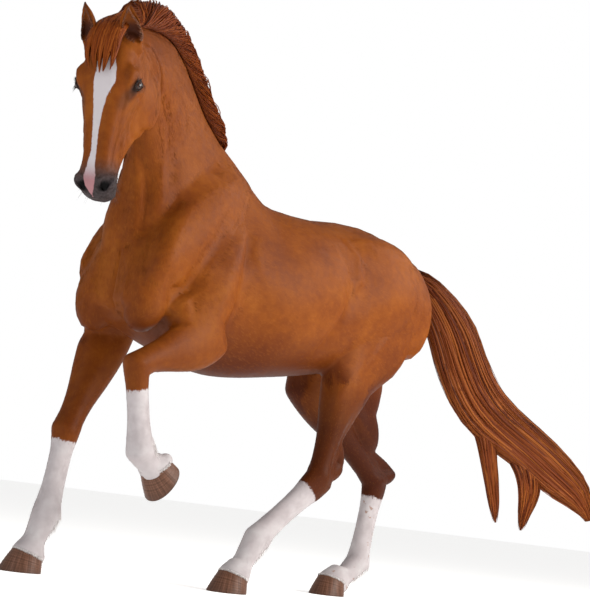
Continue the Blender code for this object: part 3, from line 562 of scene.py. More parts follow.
earSet = {"root": (0.04, 0.092, -0.042), "length": 0.146, "wall": 0.007, "sides": 24, "lean": 0.012, "back": 0.01,
          "reach": 0.17}
# Ear: height, half width, half depth, half of the opening as a share of the round
earRows = curveRows(((-0.3, 0.016, 0.016, 0.02), (-0.08, 0.017, 0.018, 0.03), (0.05, 0.025, 0.023, 0.14),
                     (0.2, 0.034, 0.026, 0.3), (0.38, 0.037, 0.026, 0.38), (0.55, 0.0355, 0.024, 0.4),
                     (0.72, 0.028, 0.019, 0.39), (0.87, 0.017, 0.012, 0.34), (0.96, 0.0085, 0.007, 0.22),
                     (1.0, 0.004, 0.004, 0.1)), 4)


def earRow(height):  # the heights of the rows go from -0.3 to 1
    return rowAt(earRows, (height + 0.3) / 1.3)


def earFrame(side):
    a, s, n = earSet["root"]
    up = unit(headWay(-0.78, -0.12 * side, 0.61))
    outward = headWay(0.57, 0.5 * side, 0.6)
    outward = unit(outward - up * dotted(outward, up))
    return onHead(a, s * side, n), up, outward, np.cross(up, outward)


def earShare(points, side, low, high):  # how much of the ear, 0 below the first height and off it
    root, up = earFrame(side)[:2]
    return rise(dotted(points - root, up), low, high) * (norms(points - root) < earSet["reach"])


def addEar(bm, side):
    root, up, outward, across = earFrame(side)
    rings = []
    half = earSet["sides"]
    for height, width, depth, opening in earRows:
        sway = -side * earSet["lean"] * sin(pi * min(1, max(0, height)))
        lean = across * sway + outward * (earSet["back"] * height)
        middle = root + up * (earSet["length"] * height) + lean
        turn = np.linspace(opening * pi, (2 - opening) * pi, half)
        shell = np.stack([np.sin(turn), np.cos(turn)], -1)
        sizes = array((width, depth))
        inside = np.maximum(sizes - earSet["wall"], 0.0006)
        flat = np.concatenate([shell * sizes, (shell * inside)[::-1]])
        rings.append(middle + np.outer(flat[:, 0], across) + np.outer(flat[:, 1], outward))
    tube(bm, rings)


def throughFrame(points, frame4):
    return points @ frame4[:3, :3].T + frame4[:3, 3]


def inFrame(points, frame4):
    return (points - frame4[:3, 3]) @ frame4[:3, :3]


def coronetHeight(x):
    return hoofSet["height"] + hoofSet["slope"] * (x + hoofSet["back"])


def hoofFrame(leg):  # x to the toe, z from the sole up
    middle = legJoints[leg][4]
    if leg in hoofSet["heading"]:
        return Matrix.Translation(middle) @ Matrix.Rotation(radians(hoofSet["heading"][leg]), 4, "Z")
    up = Vector((0.848, 0.02, 0.53)).normalized()
    toe = Vector((0.53, 0.05, -0.848))
    toe = (toe - up * toe.dot(up)).normalized()
    return framed((toe, up.cross(toe), up), middle)


def hoofOutline(turn, level, scale):  # level 0 is the rim and 1 the coronet
    toe, heel, half = (hoofSet[key][level] for key in ("toe", "heel", "half"))
    return np.where(np.cos(turn) > 0, toe, heel) * np.cos(turn) * scale, half * bent(np.sin(turn), 0.9) * scale


def addCoronet(bm, leg):  # the band of skin over the hoof's edge, and the bulbs of the heel
    frame4 = array(hoofFrame(leg))
    turn = turnsOf(ringSides["body"])
    rings = []
    toFetlock = inFrame(array(legJoints[leg][3]), frame4)
    for lift, scale in hoofSet["coronet"]:
        x, y = hoofOutline(turn, 1, scale)
        x = x - hoofSet["back"]
        rings.append(np.stack([x + toFetlock[0] / toFetlock[2] * max(lift, 0), y, coronetHeight(x) + lift], -1))
    tube(bm, throughFrame(array(rings), frame4))
    size = 1.25 if leg == "foreLeft" else 1.0
    for side in (1, -1):
        middle = frame4[:3, :3] @ array((-0.056, 0.021 * side, 0.056)) + frame4[:3, 3]
        ball(bm, framed(frame4[:3, :3].T * (0.023 * size), middle))


skinSet = {"voxel": 0.0045, "relax": 7, "broadRelax": 34, "coatDepth": 0.0018, "triangles": 192000,
           "favour": 0.6, "levels": 10}
fineSpots = {"eye": (0.042, 2), "nostril": (0.055, 1), "lips": (0.045, 1)}  # reach and cuts of finer faces
hockCords = ((2.0, 0.028, 0.036, 0.008), (1.5, 0.026, 0.03, 0.004))  # place, radii and overrun


def relax(points, edges, weights, rounds):
    first, second = edges[:, 0], edges[:, 1]
    count = np.bincount(edges.ravel(), minlength=len(points))[:, None]
    for _ in range(rounds):
        total = np.stack([np.bincount(first, points[second, i], len(points))
                          + np.bincount(second, points[first, i], len(points)) for i in range(3)], -1)
        points = points + (total / count - points) * (0.5 * weights[:, None])
    return points


def broadness(points):  # 1 where the body is broad and plain, 0 on head and legs
    a, s, n = inHead(points)
    head = 1 - rise(n, -0.345, -0.305) * rise(a, -0.06, -0.01) * (np.abs(s) < 0.18) * (a < 0.65)
    legs = shareOf(points[:, 2], 0.62, 0.25)
    return np.minimum(head, legs)


def rayFrom(view, u, v):  # a view is a side from which a place is given by two numbers
    if view in flanks:
        sign = 1 if view == "left" else -1
        return (u, sign * 0.9, v), (0, -sign, 0)
    if view == "front":
        return (2.0, u, v), (-1, 0, 0)
    if view == "rear":
        return (-2.0, u, v), (1, 0, 0)
    if view in cheeks:
        sign = 1 if view == "headLeft" else -1
        return onHead(u, sign * 0.5, v), headWay(0, -sign, 0)
    if view == "headTip":
        return onHead(1.0, u, v), headWay(-1, 0, 0)
    return onHead(u, v, 0.5), headWay(0, 0, -1)  # headFront


flanks, cheeks = ("left", "right"), ("headLeft", "headRight")
# Strokes over the skin: views, places, width, height (below 0 is a groove)
bodyStrokes = (
    (flanks, ((0.6, 1.57), (0.68, 1.51), (0.77, 1.435), (0.84, 1.345), (0.885, 1.27)), 0.018, -0.01),
    (flanks, ((0.6, 1.5), (0.71, 1.43), (0.79, 1.34), (0.84, 1.25), (0.865, 1.16)), 0.036, 0.012),
    (flanks, ((0.995, 1.56), (0.925, 1.47), (0.905, 1.38), (0.905, 1.27)), 0.016, -0.014),
    (flanks, ((0.96, 1.72), (0.89, 1.64), (0.845, 1.54), (0.83, 1.43)), 0.024, -0.01),
    (flanks, ((0.9, 1.63), (0.87, 1.52), (0.862, 1.41), (0.868, 1.31)), 0.03, 0.01),
    (flanks, ((0.528, 1.385), (0.6, 1.27), (0.665, 1.175), (0.7, 1.1)), 0.011, 0.005),
    (flanks, ((0.5, 1.375), (0.575, 1.25), (0.625, 1.175)), 0.016, -0.004),
    (flanks, ((0.575, 1.4), (0.645, 1.29), (0.715, 1.19), (0.76, 1.08)), 0.02, -0.005),
    (flanks, ((0.46, 1.31), (0.492, 1.206), (0.506, 1.109), (0.52, 1.032), (0.53, 0.95)), 0.015, -0.012),
    (flanks, ((0.55, 1.25), (0.575, 1.16), (0.592, 1.06), (0.61, 0.98)), 0.042, 0.01),
    (flanks, ((0.44, 1.33), (0.42, 1.25), (0.405, 1.17)), 0.016, 0.004),
    (flanks, ((0.735, 1.12), (0.715, 1.05), (0.7, 0.985)), 0.02, -0.008),
    (flanks, ((0.84, 1.09), (0.81, 1.02), (0.78, 0.97)), 0.022, -0.006),
    (flanks, ((-0.06, 1.37), (-0.08, 1.29), (-0.075, 1.2)), 0.04, -0.01),
    (flanks, ((-0.17, 1.32), (-0.175, 1.24), (-0.15, 1.15)), 0.026, -0.006),
    (flanks, ((-0.085, 1.425), (-0.125, 1.385), (-0.146, 1.345), (-0.13, 1.25), (-0.1, 1.15)), 0.008, 0.006),
    (flanks, ((-0.01, 1.365), (-0.03, 1.29), (-0.028, 1.21)), 0.007, 0.003),
    (flanks, ((-0.13, 1.225), (-0.085, 1.15), (-0.04, 1.075), (0.0, 1.0), (0.025, 0.955)), 0.02, -0.014),
    (flanks, ((-0.165, 1.11), (-0.12, 1.02), (-0.085, 0.94)), 0.03, 0.008),
    (flanks, ((-0.215, 1.432), (-0.16, 1.425)), 0.03, 0.008),
    (("left",), ((-0.54, 1.33), (-0.5, 1.2), (-0.42, 1.08), (-0.33, 0.98), (-0.25, 0.89)), 0.022, -0.006),
    (("right",), ((-0.56, 1.3), (-0.56, 1.16), (-0.57, 1.0), (-0.6, 0.87)), 0.022, -0.006),
    (flanks, ((-0.3, 1.38), (-0.31, 1.28), (-0.29, 1.19)), 0.05, 0.006),
    (("left",), ((-0.17, 0.9), (-0.14, 0.845), (-0.12, 0.8)), 0.028, 0.006),
    (flanks, ((0.36, 1.0), (0.2, 0.935), (0.04, 0.93)), 0.02, -0.003),
    (("front",), ((0.045, 1.215), (0.04, 1.13), (0.03, 1.04), (0.02, 0.97)), 0.01, -0.012),
    (("front",), ((0.105, 1.2), (0.13, 1.1), (0.12, 1.02)), 0.034, 0.008),
    (("front",), ((-0.04, 1.2), (-0.08, 1.1), (-0.08, 1.02)), 0.034, 0.008),
    (("front",), ((0.14, 0.985), (0.08, 0.96), (0.02, 0.955), (-0.05, 0.965)), 0.016, -0.01),
)
ribSet = {"first": 0.335, "step": -0.052, "count": 8, "top": 1.3, "low": 1.0, "lean": -0.045,
          "width": 0.01, "height": -0.0014}
windpipeSet = {"low": 1.262, "step": 0.0215, "count": 5, "from": 0.03, "to": 0.088,
               "width": 0.0045, "height": -0.0024}
headStrokes = (
    (cheeks, ((0.01, -0.19), (0.08, -0.268), (0.145, -0.306), (0.2, -0.32), (0.26, -0.312), (0.325, -0.27)),
     0.01, -0.017),
    (cheeks, ((0.02, -0.165), (0.08, -0.232), (0.145, -0.262), (0.2, -0.274), (0.255, -0.266), (0.312, -0.23)),
     0.016, 0.007),
    (cheeks, ((0.238, -0.09), (0.27, -0.084), (0.303, -0.084), (0.35, -0.09)), 0.0075, 0.006),
    (cheeks, ((0.262, -0.108), (0.31, -0.108), (0.345, -0.112)), 0.01, -0.004),
    (cheeks, ((0.23, -0.03), (0.3, -0.036), (0.38, -0.042), (0.47, -0.04)), 0.01, -0.0035),
    (cheeks, ((0.29, -0.07), (0.35, -0.058), (0.42, -0.052), (0.48, -0.05)), 0.006, 0.0022),
    (cheeks, ((0.33, -0.12), (0.35, -0.15), (0.34, -0.18)), 0.014, -0.0045),
    (cheeks, ((0.1, -0.238), (0.19, -0.268), (0.27, -0.258), (0.33, -0.222)), 0.012, 0.004),
    (cheeks, ((0.02, -0.11), (0.05, -0.165), (0.11, -0.205)), 0.014, -0.005),
    (cheeks, ((0.128, -0.04), (0.118, -0.052)), 0.019, -0.01),
    (cheeks, ((0.148, -0.03), (0.176, -0.022), (0.208, -0.024), (0.232, -0.036)), 0.009, 0.0048),
    (cheeks, ((0.205, -0.1), (0.15, -0.1), (0.09, -0.092)), 0.01, 0.0045),
    (cheeks, ((0.585, -0.106), (0.56, -0.116), (0.525, -0.121), (0.492, -0.124)), 0.0036, -0.0062),
    (cheeks, ((0.565, -0.1), (0.53, -0.104), (0.5, -0.108)), 0.007, 0.0025),
    (cheeks, ((0.56, -0.131), (0.525, -0.134)), 0.007, 0.0025),
    (cheeks, ((0.482, -0.112), (0.474, -0.124), (0.478, -0.134)), 0.004, -0.002),
    (cheeks, ((0.47, -0.066), (0.48, -0.09), (0.474, -0.106)), 0.005, -0.0022),
    (("headTip",), ((-0.034, -0.106), (0.0, -0.104), (0.034, -0.106)), 0.0036, -0.0062),
    (("headFront",), ((0.56, 0.0), (0.584, 0.0)), 0.005, -0.0025),
)


def pressStrokes(points, normals, tree, strokes):
    lift = np.zeros(len(points))
    for views, spots, width, height in strokes:
        for view in views:
            run = curveRows(spots, 8)
            samples = []
            for u, v in run:
                start, way = rayFrom(view, u, v)
                hit = tree.ray_cast(Vector(start), Vector(way))[0]
                if hit is not None:
                    samples.append(array(hit))
            if len(samples) < 2:
                continue
            samples = array(samples)
            reach = width * 3
            near = np.nonzero(((points > samples.min(0) - reach) & (points < samples.max(0) + reach)).all(1))[0]
            first, run = samples[:-1], samples[1:] - samples[:-1]
            length = np.maximum(dotted(run, run), 1e-9)
            best = np.full(len(near), 1e9)
            for start, way, size in zip(first, run, length):
                share = np.clip(((points[near] - start) @ way) / size, 0, 1)
                best = np.minimum(best, ((points[near] - start - share[:, None] * way) ** 2).sum(1))
            facing = rise(normals[near] @ unit(-array(rayFrom(view, *spots[0])[1])), 0.0, 0.35)
            lift[near] += height * np.exp(-best / width ** 2) * facing
    return lift


def allStrokes():
    found = list(bodyStrokes)
    for i in range(ribSet["count"]):
        x = ribSet["first"] + ribSet["step"] * i
        middle = (x + ribSet["lean"] * 0.6, (ribSet["top"] + ribSet["low"]) / 2)
        run = ((x, ribSet["top"]), middle, (x + ribSet["lean"], ribSet["low"]))
        found.append((flanks, run, ribSet["width"], ribSet["height"]))
    for i in range(windpipeSet["count"]):
        z = windpipeSet["low"] + windpipeSet["step"] * i
        middle = ((windpipeSet["from"] + windpipeSet["to"]) / 2, z - 0.002)
        run = ((windpipeSet["from"], z), middle, (windpipeSet["to"], z))
        found.append((("front",), run, windpipeSet["width"], windpipeSet["height"]))
    return found + list(headStrokes)


lidSet = {"length": 0.92, "upper": 0.6, "lower": 0.46, "tilt": 42, "lid": 0.0026, "fade": 2.1,
          "folds": ((0.0012, 1.16, 0.12), (-0.0026, 1.48, 0.13), (0.0016, 1.8, 0.2))}  # rim, crease, brow


def eyeFrame(side):  # centre, out of the head, from the inner to the outer corner, up
    centre = cheekPlace(eyeSet, side)
    out = unit(headWay(0.02, 0.93 * side, 0.36))
    along = headWay(-cos(radians(lidSet["tilt"])), 0, -sin(radians(lidSet["tilt"])))
    along = unit(along - out * dotted(along, out))
    up = np.cross(out, along) * side
    return centre, out, along, -up if up @ (headWay(0, 0, 1)) < 0 else up


def shapeLids(points):
    radius = eyeSet["radius"]
    for side in (1, -1):
        centre, out, along, up = eyeFrame(side)
        offset = points - centre
        distance = norms(offset)
        near = np.nonzero(distance < radius * 2.6)[0]
        way = unit(offset[near])
        x, y, z = way @ along, way @ up, way @ out
        angle = np.arccos(np.clip(z, -1, 1)) / np.maximum(np.sqrt(x * x + y * y), 1e-6)
        x, y = x * angle, y * angle
        half = np.where(y > 0, lidSet["upper"], lidSet["lower"])
        q = ((np.abs(x) / lidSet["length"]) ** 1.7 + (np.abs(y) / half) ** 1.7) ** (1 / 1.7)
        lid = radius + lidSet["lid"]
        for height, place, width in lidSet["folds"]:
            lid = lid + height * bell(q, place, width)
        wanted = radius - 0.006 + (lid - radius + 0.006) * rise(q, 0.9, 1.04)
        keep = rise(q, 1.25, lidSet["fade"])
        size = wanted * (1 - keep) + distance[near] * keep
        front = rise(z, -0.1, 0.15)
        size = size * front + distance[near] * (1 - front)
        points[near] = centre + way * size[:, None]
    return points


nostrilSet = {"a": 0.538, "s": 0.045, "n": -0.034, "long": 0.0265, "short": 0.018, "deep": 0.032,
              "rim": 0.0034, "tilt": 30}


def nostrilFrame(side):  # centre, out, along and across the opening
    out = unit(headWay(0.1, 0.5 * side, 0.86))
    tilt = radians(nostrilSet["tilt"])
    along = headWay(-cos(tilt), side * sin(tilt), 0)
    along = unit(along - out * dotted(along, out))
    return cheekPlace(nostrilSet, side), out, along, np.cross(out, along)


def shapeNostrils(points):
    for side in (1, -1):
        centre, out, along, across = nostrilFrame(side)
        offset = points - centre
        near = np.nonzero((norms(offset) < 0.055) & (offset @ out > -0.03))[0]
        x, y = offset[near] @ along, offset[near] @ across
        y = y + 0.35 * x * x / nostrilSet["long"] * side  # a comma rather than an oval
        q = np.sqrt((x / nostrilSet["long"]) ** 2 + (y / nostrilSet["short"]) ** 2)
        sink = -nostrilSet["deep"] * (1 - rise(q, 0.45, 1.02))
        rim = nostrilSet["rim"] * bell(q, 1.22, 0.22)
        inward = unit(headWay(-0.55, 0.42 * side, 0.6))
        points[near] += inward * sink[:, None] + out * rim[:, None]
    return points


def refineNear(obj, spots):  # finer faces round the eyes, nostrils and lips
    bm = bmesh.new()
    bm.from_mesh(obj.data)
    for centre, reach, cuts in spots:
        centre = Vector(centre)
        edges = [edge for edge in bm.edges if (edge.verts[0].co - centre).length < reach]
        bmesh.ops.subdivide_edges(bm, edges=edges, cuts=cuts, use_grid_fill=True)
    bmesh.ops.triangulate(bm, faces=[face for face in bm.faces if len(face.verts) > 4])
    bm.to_mesh(obj.data)
    bm.free()


def makeSkin():
    bm = bmesh.new()
    addTrunk(bm)
    addNeck(bm)
    addHead(bm)
    for side in (1, -1):
        addEar(bm, side)
        for first, second, outward, across in muscles.values():
            spindle(bm, *(Vector((x, y * side, z)) for x, y, z in (first, second)), outward, across)
    for muscle in oneSided:
        spindle(bm, *muscle)
    for leg, tip in hockTips.items():
        for spot, *sizes in hockCords:
            spindle(bm, legFrame(legJoints[leg], spot)[0], tip, *sizes)
    for leg in legJoints:
        addLeg(bm, leg)
        addCoronet(bm, leg)
    obj = bmeshObject("skin", bm)
    remesh = obj.modifiers.new("Fuse", "REMESH")
    remesh.mode = "VOXEL"
    remesh.voxel_size = skinSet["voxel"]
    applied(obj)
    points = meshPoints(obj.data)
    edges = readOut(obj.data.edges, "vertices", 2, np.int32)
    broad = broadness(points)
    ears = np.zeros(len(points))
    for side in (1, -1):
        ears = np.maximum(ears, earShare(points, side, 0.0, 0.02))
    points = relax(points, edges, 1 - 0.55 * ears, skinSet["relax"])
    points = relax(points, edges, np.maximum(0.12, broad) * (1 - ears), skinSet["broadRelax"])
    setPoints(obj.data, points)
    refineNear(obj, [(cheekPlace(eyeSet, side), *fineSpots["eye"]) for side in (1, -1)]
               + [(onHead(0.535, 0.045 * side, -0.06), *fineSpots["nostril"]) for side in (1, -1)]
               + [(onHead(0.57, 0, -0.11), *fineSpots["lips"])])
    points = meshPoints(obj.data)
    normals = meshNormals(obj.data)
    lift = pressStrokes(points, normals, treeOf(obj), allStrokes())
    points = points + normals * (lift - skinSet["coatDepth"])[:, None]
    points = shapeLids(points)
    points = shapeNostrils(points)
    setPoints(obj.data, points)
    group = obj.vertex_groups.new(name="Broad")
    weights = np.clip(0.3 + 0.7 * broadness(points), 0, 1)
    for level in range(skinSet["levels"] + 1):
        chosen = np.nonzero(np.round(weights * skinSet["levels"]).astype(int) == level)[0]
        if len(chosen):
            group.add(chosen.tolist(), level / skinSet["levels"], "REPLACE")
    thin = obj.modifiers.new("Thin", "DECIMATE")
    thin.ratio = skinSet["triangles"] / sum(len(p.vertices) - 2 for p in obj.data.polygons)
    thin.vertex_group = "Broad"
    thin.vertex_group_factor = skinSet["favour"]
    applied(obj)
    obj.vertex_groups.clear()
    obj.data.shade_smooth()
    return obj


def legPlaces(points):  # nearest leg, place along it and distance from its bones
    best = np.full(len(points), 1e9)
    leg = np.full(len(points), -1)
    spot = np.zeros(len(points))
    down = np.zeros((len(points), 3))
    for i, joints in enumerate(legJoints.values()):
        for k in range(4):
            a, b = array(joints[k]), array(joints[k + 1])
            share = np.clip(((points - a) @ (b - a)) / ((b - a) @ (b - a)), 0, 1)
            distance = norms(points - a - share[:, None] * (b - a))
            closer = distance < best
            best[closer] = distance[closer]
            leg[closer] = i
            spot[closer] = k + share[closer]
            down[closer] = unit(b - a)
    return leg, spot, best, down


stockingTops = (2.125, 2.28, 2.2, 2.2)  # in the order of legJoints
# partly the legs' own darker hair, partly painted shade on the legs that stand in shadow, the right hind most
legToneAndPaintedShade = (0.35, 0.35, 0.85, 1.0, 0.9)  # how dark each leg is above its stocking, the last off the legs
blazeEdges = (  # a, right edge, left edge
    (0.06, -0.016, 0.01), (0.11, -0.024, 0.04), (0.146, -0.02, 0.049), (0.194, -0.027, 0.051), (0.245, -0.024, 0.025),
    (0.297, -0.019, 0.014), (0.365, -0.016, 0.006), (0.433, -0.013, 0.006), (0.485, -0.022, 0.006),
    (0.518, -0.032, 0.012), (0.55, -0.028, 0.006), (0.578, -0.01, -0.008))


def markings(points):  # signed distances and shares that both skin and coat read
    a, s, n = inHead(points)
    headish = (np.abs(s) < 0.16) & (a > -0.06) & (a < 0.62) & (n > -0.33) & (n < 0.1)
    table = array(blazeEdges)
    right, left = np.interp(a, table[:, 0], table[:, 1]), np.interp(a, table[:, 0], table[:, 2])
    blaze = np.minimum(np.minimum(s - right, left - s), 0.582 - a)
    blaze = np.where(headish & (n > -0.075 - 0.1 * rise(a, 0.54, 0.58)), blaze, -0.1)
    muzzle = rise(a + 0.25 * np.clip(-n - 0.05, 0, 0.1) + 0.1 * np.abs(s), 0.44, 0.54) * headish
    muzzle = muzzle * (n > -0.3)
    eyes = np.zeros(len(points))
    for side in (1, -1):
        centre, out, along, up = eyeFrame(side)
        offset = points - centre
        x, y = offset @ along, offset @ up
        x = np.where(x < 0, x * 0.7, x * 0.8)
        dark = 1 - rise(np.sqrt(x * x + (y * 1.1) ** 2), 0.015, 0.04)
        tear = onHead(0.27, 0.074 * side, -0.02) - centre  # the dark line under the inner corner
        share = np.clip((offset @ tear) / (tear @ tear), 0, 1)
        away = norms(offset - share[:, None] * tear)
        dark = np.maximum(dark, (1 - rise(away, 0.01, 0.034)) * (0.95 - 0.7 * share))
        eyes = np.maximum(eyes, dark * headish * (offset @ out > -0.035))
    leg, spot, distance, _ = legPlaces(points)
    tops = array(stockingTops)[np.maximum(leg, 0)]
    cannons = array([np.linalg.norm(array(j[3]) - array(j[2])) for j in legJoints.values()])[np.maximum(leg, 0)]
    stocking = np.where((distance < 0.12) & (spot > 1.5), (spot - tops) * cannons, -0.3)
    # painted shade: the coat darkens under the belly, away from the legs
    bellyShade = rise(-points[:, 2], -1.05, -0.8) * (distance > 0.1)
    # painted shadow: near-black where each nostril sinks in
    nostrilShadow = np.zeros(len(points))
    for side in (1, -1):
        centre, out, along, across = nostrilFrame(side)
        offset = points - centre
        q = np.sqrt((offset @ along / nostrilSet["long"]) ** 2 + (offset @ across / nostrilSet["short"]) ** 2)
        deep = rise(-(offset @ out), 0.001, 0.006) * (1 - rise(q, 1.0, 1.35))
        nostrilShadow = np.maximum(nostrilShadow, deep * (norms(offset) < 0.05))
    inner = np.zeros(len(points))
    for side in (1, -1):
        root, up, outward, across = earFrame(side)
        height = dotted(points - root, up) / earSet["length"]
        row = earRow(height)
        x = dotted(points - root, across) + side * earSet["lean"] * np.sin(pi * np.clip(height, 0, 1))
        z = dotted(points - root, outward) - earSet["back"] * height
        reach = np.sqrt((x / row[:, 1]) ** 2 + (z / row[:, 2]) ** 2)
        inner = np.maximum(inner, (1 - rise(reach, 0.8, 0.97)) * rise(height, 0.02, 0.14) * (height < 1.02))
    # darker down the legs: partly the coat's own darker legs, partly painted shade
    low = rise(-points[:, 2], -0.96, -0.64) * array(legToneAndPaintedShade)[leg]
    return {"inner": inner, "nostrilShadow": nostrilShadow, "low": low, "blaze": blaze, "muzzle": muzzle, "eyes": eyes,
            "stocking": np.clip(stocking, -0.3, 0.3), "under": bellyShade, "rearRight": (leg == 3).astype(float)}


lieWays = {"trunk": (-1.0, 0.0, -0.38), "neck": (-0.62, -0.18, -0.8), "breast": (-0.25, 0, -1.0),
           "face": (1.0, 0, -0.1), "jaw": (0.45, 0, -1.0)}  # the last two in the head's own axes


def turned(way, share, toward):  # each way mixed with another one by a share
    return way * (1 - share)[:, None] + share[:, None] * toward


def lieOf(points, normals):  # which way the hair lies
    depth = -inHead(points)[2]
    _, spot, distance, down = legPlaces(points)
    way = np.tile(array(lieWays["trunk"]), (len(points), 1))
    neck = rise(points[:, 0], 0.45, 0.8) * rise(points[:, 2], 1.05, 1.3)
    way = turned(way, neck, array(lieWays["neck"]))
    breast = rise(points[:, 0], 0.8, 0.92) * (1 - rise(points[:, 2], 1.2, 1.32))
    way = turned(way, breast, array(lieWays["breast"]))
    onLeg = rise(spot, 0.9, 1.35) * (1 - rise(distance, 0.13, 0.2))
    way = turned(way, onLeg, down)
    ahead = beforeNeck(points)
    head = rise(ahead, -0.02, 0.03) * (points[:, 2] > headPlane["floor"])
    share = rise(depth, 0.08, 0.2)[:, None]
    way = turned(way, head, headWay(*lieWays["face"]) * (1 - share) + headWay(*lieWays["jaw"]) * share)
    for side in (1, -1):
        way = turned(way, earShare(points, side, 0.01, 0.04), earFrame(side)[1])
    way = way - normals * dotted(way, normals)[:, None]
    return unit(way)


# Lower corner and size of each region's box on the flat plan, and how far apart the legs' boxes are
planBoxes = {"head": (0.02, 0.68, 0.3, 0.3), "trunk": (0.36, 0.5, 0.61, 0.48), "neck": (0.02, 0.36, 0.3, 0.3),
             "leg": (0.36, 0.02, 0.14, 0.44)}
legStep = 0.155


def onPlan(region, across, high, shift=0.0):
    left, low, width, height = planBoxes[region]
    return np.stack([left + shift + width * across, low + height * high], -1)


def roundShare(aside, ahead):  # the angle round an axis, from 0 to 1
    return np.arctan2(aside, ahead) / (2 * pi) + 0.5


def unwrapped(points):  # a place on a flat plan of the skin, each region in its own box
    a, s, n = inHead(points)
    leg, spot, distance, _ = legPlaces(points)
    head = onPlan("head", shareOf(a, -0.1, 0.72), roundShare(s, n + 0.12))
    trunk = onPlan("trunk", shareOf(points[:, 0], -0.8, 2.1), roundShare(points[:, 1], points[:, 2] - 1.18))
    isNeck = (points[:, 2] > 1.42) & (points[:, 0] > 0.45)
    around = roundShare(points[:, 1] - 0.1, points[:, 0] - 0.85)
    neck = onPlan("neck", around, shareOf(points[:, 2], 1.42, 0.62))
    legPlan = np.zeros((len(points), 2))
    for i, chain in enumerate(legJoints.values()):
        chosen = leg == i
        spots = np.minimum(spot[chosen].astype(int), 3)
        start, end = array(chain)[spots], array(chain)[spots + 1]
        offset = points[chosen] - start - (end - start) * (spot[chosen] - spots)[:, None]
        wayUp = unit(end - start)
        side = unit(array((0, 1, 0)) - wayUp * wayUp[:, 1:2])
        turn = roundShare(dotted(offset, side), dotted(offset, np.cross(wayUp, side)))
        legPlan[chosen] = onPlan("leg", turn, shareOf(spot[chosen], 0.9, 3.1), legStep * i)
    isLeg = (spot > 1.0) & (distance < 0.16) & (points[:, 2] < 1.05)
    body = np.where(isLeg[:, None], legPlan, np.where(isNeck[:, None], neck, trunk))
    return np.where(isHead(points)[:, None], head, body)


def addMarkings(mesh, points, repeats=1):
    for name, values in markings(points).items():
        addValues(mesh, name, np.repeat(values, repeats))


# Summer coat of a chestnut horse: short flat hair with a silky gloss over the muscles. Stockings, blaze
# and snip are white hair on pink skin, the muzzle and eyelids nearly bare dark skin.
def makeCoatMaterial(name, gloss, fur):
    material = newMaterial(name)
    under, low, stocking, rearRight, inner, eyes, muzzle, nostrilShadow, blaze = valuesOf(
        material, "under", "low", "stocking", "rearRight", "inner", "eyes", "muzzle", "nostrilShadow", "blaze")
    where = placesOf(material)
    wide = noiseOf(where, 210, 2.0)  # dapples of light and dark hair, 200 mm
    fine = noiseOf(where, 26, 4.0)  # swirls where the hair parts, 25 mm
    drawn = addNode(material, "ShaderNodeMapping", Vector=where, Scale=(0.35, 1.0, 0.8)).outputs[0]
    hair = noiseOf(drawn, 3.2, 3.0, 0.7)  # hair bundles, drawn 3 mm wide so that they show
    colour = rampOf(plus(times(wide, 0.62), times(fine, 0.38)),
                    ((0.3, "#662F0B"), (0.44, "#773B0E"), (0.56, "#844511"), (0.72, "#925218")))
    # painted shade under the belly
    colour = mixOf(times(under, 0.95), colour, "#461906")
    # darker lower legs: partly the coat's own darker legs, partly painted shade
    colour = mixOf(times(low, 0.97), colour, "#2C0D05")
    colour = mixOf(times(hair, 0.34), colour, "#6A2F0B")
    if fur:
        colour = mixOf(valuesOf(material, "shade")[0], colour, "#B46E30")
    ragged = times(mathOf("SUBTRACT", noiseOf(where, 14, 4.0, 0.65), 0.5), 0.03)
    # white of the stockings, greyer in blotches, with the skin's pink showing through
    white = rampOf(noiseOf(where, 70, 3.0), ((0.3, "#A9A0A1"), (0.5, "#B6AEAF"), (0.75, "#C2BDBD")))
    spots = times(rampOf(noiseOf(where, 30, 2.0), ((0.655, 0.0), (0.69, 1.0))), rearRight)
    white = mixOf(times(spots, 0.7), white, "#8E6A55")
    colour = mixOf(sharpened(plus(stocking, ragged), 160.0), colour, white)
    colour = mixOf(times(inner, 0.85), colour, "#3A1C16")
    colour = mixOf(times(eyes, 0.94), colour, "#1E1715")
    grey = rampOf(noiseOf(where, 12, 3.0), ((0.3, "#2C2524"), (0.6, "#41393A"), (0.8, "#554A49")))
    colour = mixOf(muzzle, colour, grey)
    # painted shadow inside the nostrils
    colour = mixOf(nostrilShadow, colour, "#080606")
    snip = mixOf(times(muzzle, muzzle), hexColour("#C6BFC2"), "#9F7276")
    colour = mixOf(sharpened(plus(blaze, times(ragged, 0.22)), 420.0), colour, snip)
    rough = plus(times(mathOf("SUBTRACT", fine, 0.5), 0.16), gloss)
    return finished(material, plus(times(hair, 0.7), times(fine, 0.8)), 0.2, 0.0014,
                    Base_Color=colour, Roughness=rough, Specular_IOR_Level=0.09)


# Mane, forelock and tail: coarse glossy hair, redder than the coat, streaked light and dark by locks
def makeHairMaterial(name, dark, middle, light):
    material = newMaterial(name)
    where = placesOf(material)
    shade, along, strand = valuesOf(material, "shade", "along", "strand")
    fine = bareNoise(6.0, 4.0, 0.7, X=strand, Y=times(along, 0.35), Z=times(shade, 9.0))
    colour = rampOf(plus(times(shade, 0.6), times(fine, 0.42)), ((0.18, dark), (0.46, middle), (0.8, light)))
    colour = mixOf(rampOf(along, ((0.0, 0.55), (0.38, 0.0))), colour, dark)
    return finished(material, plus(fine, times(noiseOf(where, 3, 2.0), 0.25)), 0.3, 0.0016,
                    Base_Color=colour, Roughness=0.48, Specular_IOR_Level=0.1)


def bakeMap(mesh, corners):  # the OFBake map, from one place for each vertex
    layer = mesh.uv_layers.new(name="OFBake")
    loops = readOut(mesh.loops, "vertex_index", 1, np.int32)
    layer.data.foreach_set("uv", corners[loops].astype(np.float32).ravel())


